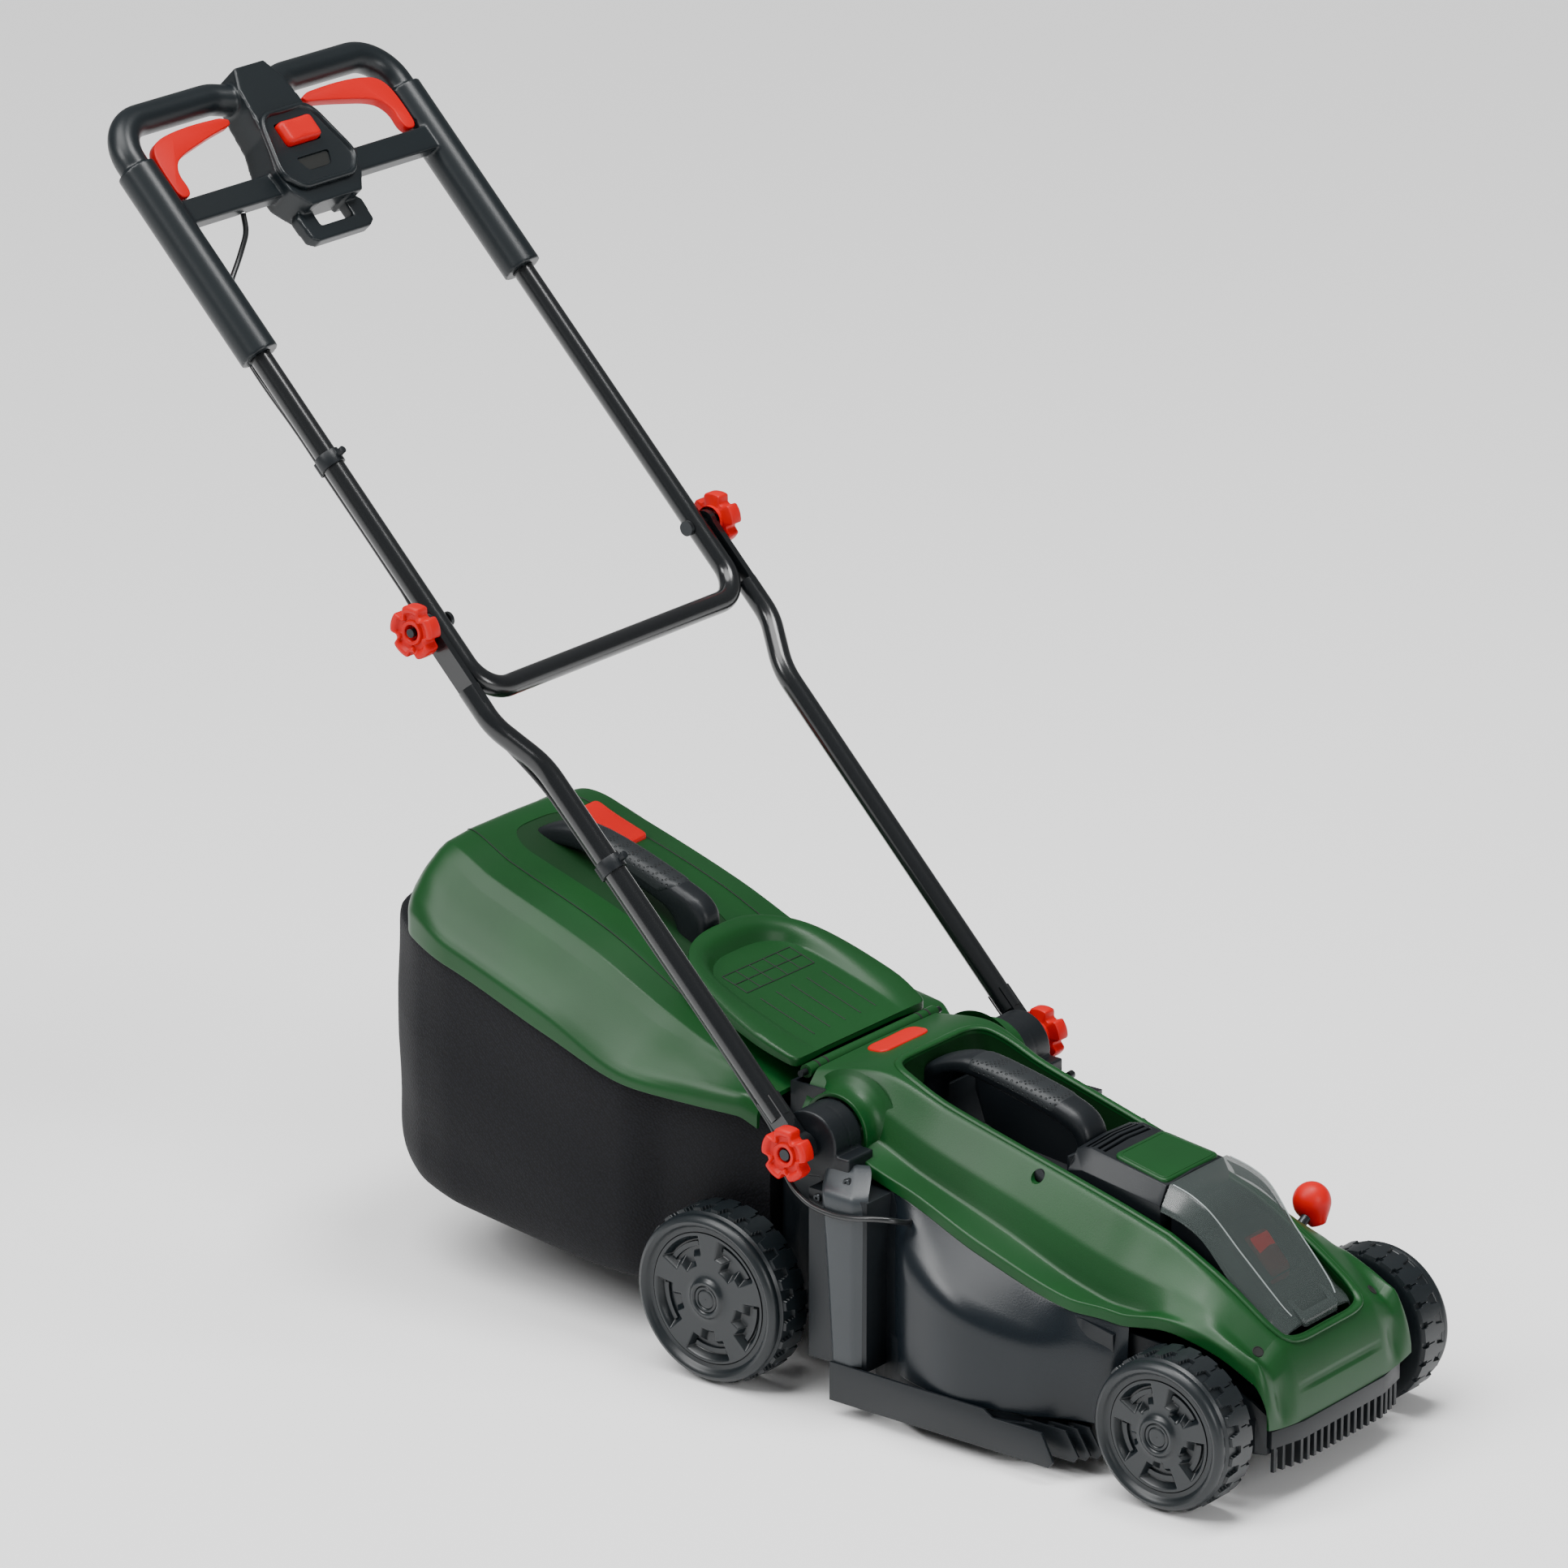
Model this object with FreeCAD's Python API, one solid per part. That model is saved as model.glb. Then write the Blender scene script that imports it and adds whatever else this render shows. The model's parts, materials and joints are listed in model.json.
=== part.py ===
"""Cordless push lawn mower: every piece as a solid, in millimetres.

Measured frame: X forward from the rear axle, Y to the mower's left, Z up from the ground.
The parts are written with X counted from the middle of the whole mower (origin_shift_x).
"""
import FreeCAD, Part
import math
import os
from FreeCAD import Vector as V

# ---------------------------------------------------------------- driving dimensions
origin_shift_x = 79.5          # rear axle, measured from the middle of the mower's box
wall = 3.0                     # moulded plastic wall
run_gap = 0.05                 # radial clearance of pins and shafts
fit_gap = 0.5                  # gap between neighbouring fixed pieces

wheelbase = 467.5
rear_wheel_r = 80.0
front_wheel_r = 69.5
wheel_width = 47.0
rear_wheel_out = 194.7         # outer face of the rear wheels, from the middle
front_wheel_out = 173.0
tyre_thickness = 19.0
axle_r = 6.0

crank_len = 44.0               # axle crank, pivot to wheel centre
crank_rise = 16.0              # degrees: the crank points this far up at rest
link_arm = 26.0                # crank arm that carries the link bar
link_y = 89.0                  # inner face of the link bar
lever_arm = 38.0               # height lever, pivot to link pin
lever_pin_x = 425.2
lever_knob = V(419.7, 128.0, 172.5)
lever_knob_r = 16.5

blade_centre_x = 255.0
blade_r = 158.0
blade_z = 40.0
chamber_r = 168.0
chamber_skin = 3.5
deck_floor_z = 75.0            # underside of the plate that closes the blade chamber
skirt_z = 14.0

pivot = V(84.0, 0, 235.0)      # lower handle pivot
handle_slope = 45.6            # degrees above the ground, leaning back
lower_len = 558.6              # lower pivot to upper knob
tube_r = 10.0
tube_wall = 1.2
upper_tube_y = 179.5
cross_bar_s = -76.0            # lower cross bar, along the handle from the upper knob
cross_bend = 32.0
sleeve_r = 18.5
sleeve_s = 287.0
grip_r = 14.5
grip_top_s = 535.0
knob_r = 24.0

hinge_x, hinge_z = 32.0, 270.0   # rear flap hinge
lid_hinge = V(388.5, 0, 233.0)   # battery lid hinge
cover_screw = V(500, 84, 118)    # head of the left cover screw

cable_r = 2.6
cable_back = -(tube_r + cable_r + 0.4)      # cable's line behind the handle tubes
cable_end = V(186, -140, 184)               # where the cable goes into the deck

pieces = []


# ---------------------------------------------------------------- helpers
def keep(name, shape):
    """Keep a piece for export; every piece is checked to be a valid solid."""
    if shape.ShapeType == "Compound" and len(shape.Solids) == 1:
        shape = shape.Solids[0]
    pieces.append((name, shape))
    return shape


def box(x0, x1, y0, y1, z0, z1):
    return Part.makeBox(x1 - x0, y1 - y0, z1 - z0, V(x0, y0, z0))


def rod(start, end, radius):
    return Part.makeCylinder(radius, (end - start).Length, start, end - start)


def rod_y(x, z, y0, y1, radius):
    return Part.makeCylinder(radius, y1 - y0, V(x, y0, z), V(0, 1, 0))


def rod_z(x, y, z0, z1, radius):
    return Part.makeCylinder(radius, z1 - z0, V(x, y, z0), V(0, 0, 1))


def polygon(points):
    return Part.makePolygon(list(points) + [points[0]])


def prism(points, direction):
    return Part.Face(polygon(points)).extrude(direction)


def side_prism(outline, y0, y1):
    """Outline in X and Z, stretched along Y."""
    return prism([V(x, y0, z) for x, z in outline], V(0, y1 - y0, 0))


def plan_prism(outline, z0, z1):
    """Outline in X and Y, stretched along Z."""
    return prism([V(x, y, z0) for x, y in outline], V(0, 0, z1 - z0))


def right_of(shape):
    """The same shape on the mower's right side."""
    return shape.mirror(V(0, 0, 0), V(0, 1, 0))


def both_sides(shape):
    return shape.fuse(right_of(shape))


def mirrored_outline(half):
    return [(y, z) for y, z in half] + [(-y, z) for y, z in reversed(half)]


def loft_along_x(stations):
    """Straight loft through half sections: {x: [(y, z), ...] from top centre to lower edge}."""
    wires = []
    for x, half in stations:
        wires.append(polygon([V(x, y, z) for y, z in mirrored_outline(half)]))
    return Part.makeLoft(wires, True, True)


def swept(points, bends, radius):
    """Round bar along straight runs with tangent arcs; one bend radius per inner point."""
    edges = []
    start = points[0]
    for i, bend in enumerate(bends):
        corner = points[i + 1]
        back = (points[i] - corner).normalize()
        ahead = (points[i + 2] - corner).normalize()
        half_turn = (math.pi - back.getAngle(ahead)) / 2
        tangent = bend * math.tan(half_turn)
        first = corner + back * tangent
        last = corner + ahead * tangent
        inward = (back + ahead).normalize()
        centre = corner + inward * (bend / math.cos(half_turn))
        middle = centre + (corner - centre).normalize() * bend
        edges.append(Part.LineSegment(start, first).toShape())
        edges.append(Part.Arc(first, middle, last).toShape())
        start = last
    edges.append(Part.LineSegment(start, points[-1]).toShape())
    path = Part.Wire(edges)
    ring = Part.Wire(Part.makeCircle(radius, points[0], points[1] - points[0]))
    return path.makePipeShell([ring], True, False)


def turned(profile, centre, axis):
    """Revolve a closed (radius, height) outline about an axis through centre."""
    side = V(1, 0, 0)
    face = Part.Face(polygon([centre + side * r + axis * h for r, h in profile]))
    return face.revolve(centre, axis, 360)


def grouped(shapes):
    return Part.makeCompound(shapes)


def biggest(shape):
    """The main solid of a result, without crumbs."""
    return max(shape.Solids, key=lambda s: s.Volume)


# ---------------------------------------------------------------- handle frame
slope = math.radians(handle_slope)
along = V(-math.cos(slope), 0, math.sin(slope))      # up the handle
outward = V(math.sin(slope), 0, math.cos(slope))     # square to the handle, forward and up
upper_pivot = pivot + along * lower_len


def on_handle(shape):
    """Place a shape drawn with X up the handle, Y to the right and Z square to the handle."""
    m = FreeCAD.Matrix(
        along.x, 0, outward.x, upper_pivot.x,
        0, -1, 0, 0,
        along.z, 0, outward.z, upper_pivot.z,
        0, 0, 0, 1)
    return shape.transformed(m, True)


# ---------------------------------------------------------------- green upper cover
# x, rim height, rim half width, crease (y, z), lower lip (y, z)
cover_stations = [
    (40, 274, 86, 102, 250, 112, 228),
    (100, 284, 80, 101, 236, 128, 216),
    (170, 263, 74, 103, 209, 138, 202),
    (255, 241, 72, 106, 184, 139, 170),
    (350, 216, 72, 106, 155, 139, 143),
    (400, 201, 71, 106, 145, 133, 129),
    (430, 187, 70, 106, 140, 120, 124),
    (470, 165, 69, 105, 132, 112, 115),
    (516, 134, 66, 97, 116, 106, 92),
    (540, 106, 48, 80, 92, 94, 69),
]
lip_height = 8.0               # upright band along the cover's lower edge


def cover_section(station, inset=0.0, drop=0.0):
    x, rim_z, rim_y, crease_y, crease_z, lip_y, lip_z = station
    return [
        (0.5, rim_z - inset),
        (rim_y - 8 - inset, rim_z - inset),
        (rim_y - inset, rim_z - 2 - inset),
        (crease_y - inset, crease_z - inset / 2),
        (lip_y - 2 - inset, lip_z + lip_height - inset),
        (lip_y - inset, lip_z - drop),
    ]


def lip_at(x):
    """Lower lip of the cover at x, between its stations: (y, z)."""
    for a, b in zip(cover_stations, cover_stations[1:]):
        if a[0] <= x <= b[0]:
            t = (x - a[0]) / (b[0] - a[0])
            return a[5] + (b[5] - a[5]) * t, a[6] + (b[6] - a[6]) * t


def cover_outer():
    return loft_along_x([(s[0], cover_section(s)) for s in cover_stations])


cover_body = cover_outer()


def opening_outline(inset):
    """The long opening in the cover's top: (x, y) half outline, mirrored."""
    half = [(103 + inset, 46 - inset), (112 + inset, 60 - inset), (140, 64 - inset),
            (300, 62 - inset), (400, 58 - inset), (502, 57 - inset), (515 - inset, 52 - inset),
            (519 - inset, 36 - inset)]
    return half + [(x, -y) for x, y in reversed(half)]


def make_upper_cover():
    inner = []
    for s in cover_stations:
        x = s[0]
        if x == cover_stations[0][0]:
            x += wall
        if x == cover_stations[-1][0]:
            x -= wall
        inner.append((x, cover_section(s, wall, 25)))
    shell = cover_body.cut(loft_along_x(inner))
    opening = plan_prism(opening_outline(wall), 90, 300)
    flange = plan_prism(opening_outline(0), 90, 300).cut(opening)
    flange = flange.common(cover_body).cut(cover_body.translated(V(0, 0, -26)))
    shell = shell.fuse(flange).cut(opening)
    collar = rod_y(pivot.x, pivot.z, 99, 117.5, 34)
    shell = shell.fuse(both_sides(collar))
    drum_room = rod_y(pivot.x, pivot.z, 117.5, 160, 31)
    bolt_room = rod_y(pivot.x, pivot.z, 90, 130, 5.5).fuse(rod_y(pivot.x, pivot.z, 90, 104, 12))
    duct_room = box(30, 180, -81, 81, 60, 246)
    shell = shell.cut(both_sides(drum_room)).cut(both_sides(bolt_room)).cut(duct_room)
    lever_slot = box(364, 434, 93, 112, 100, 230)
    insert_room = box(46, 78, -43, 43, 255, 300)
    screw_hole = rod_z(cover_screw.x, cover_screw.y, 60, 160, 2.6)
    return biggest(shell.cut(lever_slot).cut(insert_room).cut(both_sides(screw_hole)))


# ---------------------------------------------------------------- black lower deck
# x, shoulder of the bulge (y, z)
bulge_stations = [(158, 142, 160), (200, 162, 148), (255, 172, 131), (320, 159, 114),
                  (365, 140, 108), (394, 132, 105)]
bulge_bottom = 46.0
nose_plan = [(392, 118), (440, 108.5), (512, 104), (528.5, 97)]
rear_plan = [(22, 112), (60, 118), (160, 118)]
tower_x, tower_y, tower_z = (97.0, 160.0), (112.0, 171.0), (46.0, 203.0)
duct_y = 76.0
duct_outline = [(20, 84), (94, 84), (170, 78), (152, 116), (46, 243), (20, 243)]
duct_passage = [(10, 87), (94, 87), (100, 60), (166, 60), (166, 80), (149, 114), (44.5, 240),
                (10, 240)]


def bulge_loft(bottom, inset=0.0, above_lip=0.0):
    stations = []
    for x, side_y, side_z in bulge_stations:
        lip_y, lip_z = lip_at(x)
        stations.append((x, [(0.5, lip_z + above_lip), (lip_y - inset, lip_z + above_lip),
                             (side_y - inset, side_z - inset), (side_y - inset, bottom)]))
    return loft_along_x(stations)


def mirrored_plan(half, inset_y=0.0, inset_front=0.0, inset_back=0.0):
    rows = [(x, y - inset_y) for x, y in half]
    rows[0] = (rows[0][0] + inset_back, rows[0][1])
    rows[-1] = (rows[-1][0] - inset_front, rows[-1][1])
    return rows + [(x, -y) for x, y in reversed(rows)]


def deck_outside():
    nose = plan_prism(mirrored_plan(nose_plan), 44, 140)
    rear = plan_prism(mirrored_plan(rear_plan), 60, tower_z[1])
    rear_top = box(rear_plan[0][0], tower_x[0], -101, 101, tower_z[1] - wall, 262)
    tower = box(*tower_x, *tower_y, *tower_z)
    return bulge_loft(bulge_bottom).fuse([nose, rear, rear_top, both_sides(tower)])


def deck_rooms(floor_top):
    """Hollows above and below the plate that closes the blade chamber."""
    nose = mirrored_plan(nose_plan, wall, wall, -2)
    rear = mirrored_plan(rear_plan, wall, -2, wall)
    x0, x1 = tower_x[0] + wall, tower_x[1] - wall
    y0, y1 = tower_y[0], tower_y[1] - wall
    under = bulge_loft(0, wall).common(box(0, 600, -200, 200, -1, deck_floor_z))
    return [bulge_loft(floor_top, wall, 30), under,
            plan_prism(nose, floor_top, 200), plan_prism(nose, 0, deck_floor_z),
            plan_prism(rear, floor_top, tower_z[1] - wall), plan_prism(rear, 0, deck_floor_z),
            box(rear_plan[0][0] + wall, x0, -98, 98, tower_z[1] - wall - 1, 300),
            box(x0 - 1, 162, -115, 115, tower_z[1] - wall - 1, 300),
            both_sides(box(x0, x1, y0, y1, 0, deck_floor_z)),
            both_sides(box(x0, x1, y0 + 9, y1, floor_top, tower_z[1] - wall))]


def make_deck_shell():
    floor_top = deck_floor_z + wall
    centre_x = blade_centre_x
    body = deck_outside().cut(cover_body.translated(V(0, 0, -fit_gap))).cut(cover_body)
    for room in deck_rooms(floor_top):
        body = body.cut(room)
    chamber = rod_z(centre_x, 0, 0, deck_floor_z, chamber_r)
    ring = rod_z(centre_x, 0, skirt_z, floor_top, chamber_r + chamber_skin)
    duct = side_prism(duct_outline, -duct_y - wall, duct_y + wall)
    body = body.fuse([ring, duct]).cut(side_prism(duct_passage, -duct_y, duct_y)).cut(chamber)

    rear_block = box(30, 56, 104, 115.5, 56, 76)
    front_block = box(500, 520, 92, 102, 46, 76)
    bracket = box(408, 428, 103.5, 107, 38, 76)
    stud = rod_y(lever_pivot.x, lever_pivot.z, 95, 104, 5)
    boss = rod_z(centre_x, 0, 62, floor_top, 20)
    body = body.fuse([both_sides(rear_block), both_sides(front_block), bracket, stud, boss])
    for crank in (rear_crank, front_crank):
        body = body.cut(rod_y(crank.x, crank.z, -125, 125, axle_r + run_gap))
        body = body.cut(box(crank.x - 15.5, crank.x + 15.5, 82.5, 97.5, 70, 82))
    lever_slot = box(402.5, 434, 95.5, 103.2, 70, 82)
    link_slot = box(430, 525, 87.5, 93.5, 70, 82)
    shaft_hole = rod_z(centre_x, 0, 60, 90, 8 + run_gap)
    collar_room = rod_y(pivot.x, pivot.z, 98.5, 117.9, 34 + fit_gap)
    bolt_room = rod_y(pivot.x, pivot.z, 100, 130, 5.5)
    for room in (lever_slot, link_slot, shaft_hole, both_sides(collar_room), both_sides(bolt_room)):
        body = body.cut(room)
    return biggest(body.cut(rod(cable_end + V(0, -12, 0), cable_end + V(0, 10, 0), cable_r + 0.6)))


# ---------------------------------------------------------------- cutting-height mechanism
rise = math.radians(crank_rise)
rear_crank = V(crank_len * math.cos(rise), 0, rear_wheel_r - crank_len * math.sin(rise))
front_crank = V(wheelbase + crank_len * math.cos(rise), 0,
                front_wheel_r - crank_len * math.sin(rise))
arm_tip = V(link_arm * math.sin(rise), 0, link_arm * math.cos(rise))
rear_link_pin = rear_crank + arm_tip
front_link_pin = front_crank + arm_tip
link_share = (lever_pin_x - rear_link_pin.x) / (front_link_pin.x - rear_link_pin.x)
lever_pin = rear_link_pin + (front_link_pin - rear_link_pin) * link_share
lever_swing = math.asin(link_arm * math.sin(rise) / lever_arm)
lever_pivot = lever_pin - V(lever_arm * math.sin(lever_swing), 0, lever_arm * math.cos(lever_swing))


def bar_xz(a, b, half_width, y0, y1):
    """Flat bar between two points, with round ends."""
    d = (V(b.x, 0, b.z) - V(a.x, 0, a.z)).normalize()
    n = V(-d.z, 0, d.x) * half_width
    corners = [V(a.x, y0, a.z) + n, V(b.x, y0, b.z) + n, V(b.x, y0, b.z) - n, V(a.x, y0, a.z) - n]
    flat = prism(corners, V(0, y1 - y0, 0))
    return flat.fuse([rod_y(a.x, a.z, y0, y1, half_width), rod_y(b.x, b.z, y0, y1, half_width)])


def make_axle(crank, hub, arm_in, wheel_out):
    cross = rod_y(crank.x, crank.z, -arm_in - 1, arm_in + 1, axle_r)
    stub = rod_y(hub.x, hub.z, arm_in, wheel_out - 9, axle_r)
    arm = bar_xz(crank, hub, 8, arm_in, arm_in + 6)
    tip = crank + arm_tip
    link_lug = bar_xz(crank, tip, 7, link_y - 6, link_y - 1)
    pin = rod_y(tip.x, tip.z, link_y - 2, link_y + 5, 3)
    axle = cross.fuse([both_sides(stub), both_sides(arm), link_lug, pin])
    return biggest(axle.removeSplitter())


def make_link_rod():
    bar = bar_xz(rear_link_pin, front_link_pin, 5.5, link_y, link_y + 3)
    bar = bar.cut(rod_y(rear_link_pin.x, rear_link_pin.z, 80, 99, 3 + run_gap))
    bar = bar.cut(rod_y(front_link_pin.x, front_link_pin.z, 80, 99, 3.7))
    return bar.cut(rod_y(lever_pin.x, lever_pin.z, 80, 99, 3.9))


def make_height_lever():
    y0, y1 = 97.0, 101.0
    foot = bar_xz(lever_pivot, lever_pin, 8, y0, y1)
    bend = V(lever_pivot.x + 1.5, 0, 154)
    shank = bar_xz(lever_pin, bend, 6.5, y0, y1)
    pin = rod_y(lever_pin.x, lever_pin.z, link_y - 0.5, y0 + 1, 3)
    hub = rod_y(lever_pivot.x, lever_pivot.z, y0 - 1, y1, 10)
    arm = rod(V(bend.x, 98.5, bend.z + 2), lever_knob - V(0, 6, 4), 4.5)
    lever = foot.fuse([shank, pin, hub, arm])
    lever = lever.cut(rod_y(lever_pivot.x, lever_pivot.z, 90, 103, 5 + run_gap))
    return biggest(lever.cut(Part.makeSphere(lever_knob_r, lever_knob)))


# ---------------------------------------------------------------- wheels
def make_tyre(hub, out, radius):
    inner = radius - tyre_thickness
    w = wheel_width
    profile = [(inner, 2), (radius - 5, 0), (radius - 1, 4), (radius, 9), (radius, w - 9),
               (radius - 1, w - 6), (radius - 5, w - 2), (radius - 7, w - 2), (radius - 9, w),
               (radius - 12, w), (radius - 14, w - 3), (inner, w - 3)]
    return turned(profile, V(hub.x, out - w, hub.z), V(0, 1, 0))


def make_disc(hub, out, radius):
    outer = radius - tyre_thickness
    w = wheel_width
    bore = axle_r + run_gap
    profile = [(bore, 1), (16, 1), (16, w - 15), (outer - 5, w - 15), (outer - 5, 4), (outer, 4),
               (outer, w - 4), (outer - 6, w - 6), (24, w - 5), (20, w - 2), (13, w - 1),
               (10, w - 3), (0.01, w - 3), (0.01, w - 6), (bore, w - 6)]
    disc = turned(profile, V(hub.x, out - w, hub.z), V(0, 1, 0))
    for k in range(5):
        turn = 90 + 72 * k
        pocket = box(outer - 19, outer - 7, -11, 11, 0, 20)
        pocket.rotate(V(0, 0, 0), V(1, 0, 0), 90)
        pocket.rotate(V(0, 0, 0), V(0, 1, 0), turn)
        pocket.translate(V(hub.x, out + 13, hub.z))
        disc = disc.cut(pocket)
    return disc


# ---------------------------------------------------------------- cowl, battery, carry handle
tub_outside = [(104, 243), (104, 222), (114, 193), (148, 183), (286, 169), (286, 205), (200, 222),
               (120, 243)]
tub_inside = [(107, 260), (107, 227), (118, 197), (150, 186), (283, 172), (283, 260)]
hump_stations = [(285, 246, 38, 52), (300, 249.5, 38, 52), (382, 236.5, 42, 51)]


def hump_loft(inset=0.0):
    """Housing over the motor: x, top height, half width of the top, half width of the sides."""
    stations = []
    for x, top, top_y, side_y in hump_stations:
        stations.append((x, [(0.5, top - inset), (top_y - inset / 2, top - 2 - inset),
                             (side_y - inset, top - 18 - inset / 2), (side_y - inset, 168 - inset)]))
    return stations


def make_motor_cowl():
    tub = side_prism(tub_outside, -57, 57).cut(side_prism(tub_inside, -54, 54))
    inside = hump_loft(wall)
    inside[0] = (283, inside[0][1])
    inside[-1] = (382 - wall, inside[-1][1])
    hump = loft_along_x(hump_loft()).cut(loft_along_x(inside))
    cowl = tub.fuse([hump, box(283, 286, -50, 50, 170, 240)])
    for k in range(4):
        cowl = cowl.cut(box(291 + 6 * k, 294 + 6 * k, -34, 34, 236, 260))
    return biggest(cowl.removeSplitter())


def make_badge_plate():
    return loft_along_x([(322, [(0.5, 249.2), (34, 249.2), (36, 246.6), (0.5, 246.8)]),
                         (380, [(0.5, 240.4), (38, 240.4), (40, 236.6), (0.5, 237.3)])])


def lid_section(half, z, drop, inset=0.0):
    return [(0.5, z - inset), (half - 8, z - inset), (half - inset, z - 6 - inset),
            (half + 2 - inset, z - drop)]


def make_battery_lid():
    rows = [(386, 47, 238), (424, 52, 226), (499, 43, 153), (508, 37, 142)]
    outer = loft_along_x([(x, lid_section(h, z, 17)) for x, h, z in rows])
    skin = 2.5
    inner = [(rows[0][0] + skin, 47, 236.5), rows[1], rows[2], (rows[3][0] - skin, 37, 144)]
    lid = outer.cut(loft_along_x([(x, lid_section(h, z, 40, skin)) for x, h, z in inner]))
    tab = side_prism([(500, 151), (510, 146), (514, 138), (507, 131), (498, 142)], -24, 24)
    barrel = rod_y(lid_hinge.x, lid_hinge.z, -38, 38, 3.2)
    return biggest(lid.fuse([tab, barrel]))


def make_battery_tray():
    outline = [(388, 214), (388, 168), (440, 104), (508, 104), (508, 118), (420, 198)]
    tray = side_prism(outline, -43, 43)
    room = [(390.5, 250), (390.5, 169), (441, 106.5), (505.5, 106.5), (505.5, 200)]
    return tray.cut(side_prism(room, -40.5, 40.5))


def make_battery_pack():
    """Slide-in pack below the lid, its rails towards the tray."""
    length, width, height = 82.0, 72.0, 44.0
    pack = box(-length / 2, length / 2, -width / 2, width / 2, -height / 2, height / 2)
    pack = pack.makeFillet(5, [e for e in pack.Edges if abs(e.Length - height) < 0.1])
    head = box(-length / 2 + 6, length / 2 - 20, -width / 2 + 8, width / 2 - 8,
               height / 2, height / 2 + 5)
    pack = pack.fuse(head)
    pack.rotate(V(0, 0, 0), V(0, 1, 0), 43.5)
    pack.translate(V(444, 0, 161))
    return pack


def make_carry_handle():
    outer = [(92, 228), (92, 258), (104, 272), (130, 284), (154, 289), (208, 279), (258, 267),
             (276, 256), (282, 242), (282, 228)]
    inner = [(266, 228), (264, 240), (250, 249), (194, 260), (150, 270), (126, 268), (112, 256),
             (110, 228)]
    arch = side_prism(outer + inner, -17, 17)
    edges = [e for e in arch.Edges if abs(e.Length - 34) > 0.1]
    return arch.makeChamfer(3.0, edges)


# ---------------------------------------------------------------- trim and fixed deck pieces
def make_rear_insert():
    return loft_along_x([(46.5, [(0.5, 281), (40, 280), (42, 276), (0.5, 276)]),
                         (77.5, [(0.5, 285), (40, 284), (42, 279), (0.5, 279)])])


def make_front_comb():
    """Bar across the nose with a row of tines."""
    front, end_x, half, flat = 541.0, 533.0, 96.0, 60.0
    bar = plan_prism([(529, -half), (529, half), (end_x, half), (front, flat), (front, -flat),
                      (end_x, -half)], 50, 66)
    for k in range(-9, 10):
        y = 10.0 * k
        depth = front - 1.5 - max(0, abs(y) - flat) * (front - end_x) / (half - flat)
        bar = bar.fuse(box(529.5, depth, y - 2, y + 2, 27, 52))
    return bar


def make_grass_comb():
    """Flat skirt along the side that ends in a comb of fins in front of the chamber."""
    y = 175.0
    outline = [(125, 14), (360, 14), (365, 20), (352, 44), (300, 44), (290, 50), (125, 50)]
    comb = side_prism(outline, y, y + 3)
    for k in range(1, 5):
        shift = 6.0 * k
        fin = [(318, 16), (361 + shift, 16), (366 + shift, 22), (352 + shift, 43), (318, 43)]
        comb = comb.fuse(side_prism(fin, y - 9 * k, y - 9 * k + 2))
    outside_r = chamber_r + chamber_skin + fit_gap
    ring = rod_z(blade_centre_x, 0, 0, 60, outside_r)
    tie = rod_z(blade_centre_x, 0, 34, 40, outside_r + 4).common(box(296, 372, 130, 176, 30, 44))
    root = box(296, 304, 160, 176, 34, 40)
    return biggest(comb.fuse([tie, root]).cut(ring))


def make_strut():
    face = side_prism([(124, 52), (158, 48), (160, 205), (146, 226), (118, 226), (112, 205)],
                      171.5, 174)
    ear = box(112, 150, 160, 172, 205, 224).cut(box(112, 150, 160, 168, 205, 224))
    return face.fuse(ear)


def make_pivot_drum():
    drum = rod_y(pivot.x, pivot.z, 118, 155.5, 30)
    groove = rod_y(pivot.x, pivot.z, 134, 136, 31).cut(rod_y(pivot.x, pivot.z, 134, 136, 29))
    foot = box(96.5, 128, 120, 155, 203.5, 230).cut(cover_body)
    drum = drum.cut(groove).fuse(foot)
    return biggest(drum.cut(rod_y(pivot.x, pivot.z, 110, 160, 5)))


def make_pivot_bolt():
    return rod_y(pivot.x, pivot.z, 101, 189, 5).fuse(rod_y(pivot.x, pivot.z, 98, 103, 9))


def make_screws():
    """Cover screws at the nose and strut screws below the pivots."""
    top = cover_screw
    nose = rod_z(top.x, top.y, top.z - 14, top.z + 1, 2.4).fuse(
        rod_z(top.x, top.y, top.z, top.z + 3, 4.5))
    side = rod_y(135, 214, 174, 176.5, 5)
    return [nose, right_of(nose), side, right_of(side)]


# ---------------------------------------------------------------- motor and rotor
def make_motor_can():
    can = rod_z(blade_centre_x, 0, 79, 150, 46).cut(rod_z(blade_centre_x, 0, 82, 147, 43))
    stator = rod_z(blade_centre_x, 0, 95, 132, 43).cut(rod_z(blade_centre_x, 0, 90, 140, 24))
    return can.fuse(stator).cut(rod_z(blade_centre_x, 0, 70, 160, 8 + run_gap))


def make_motor_shaft():
    shaft = rod_z(blade_centre_x, 0, blade_z + 4, 152, 8)
    rotor = rod_z(blade_centre_x, 0, 96, 131, 22)
    hub = rod_z(blade_centre_x, 0, blade_z + 4, 58, 17)
    thread = rod_z(blade_centre_x, 0, blade_z - 8, 60, 4)
    return shaft.fuse([rotor, hub]).cut(thread)


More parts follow.
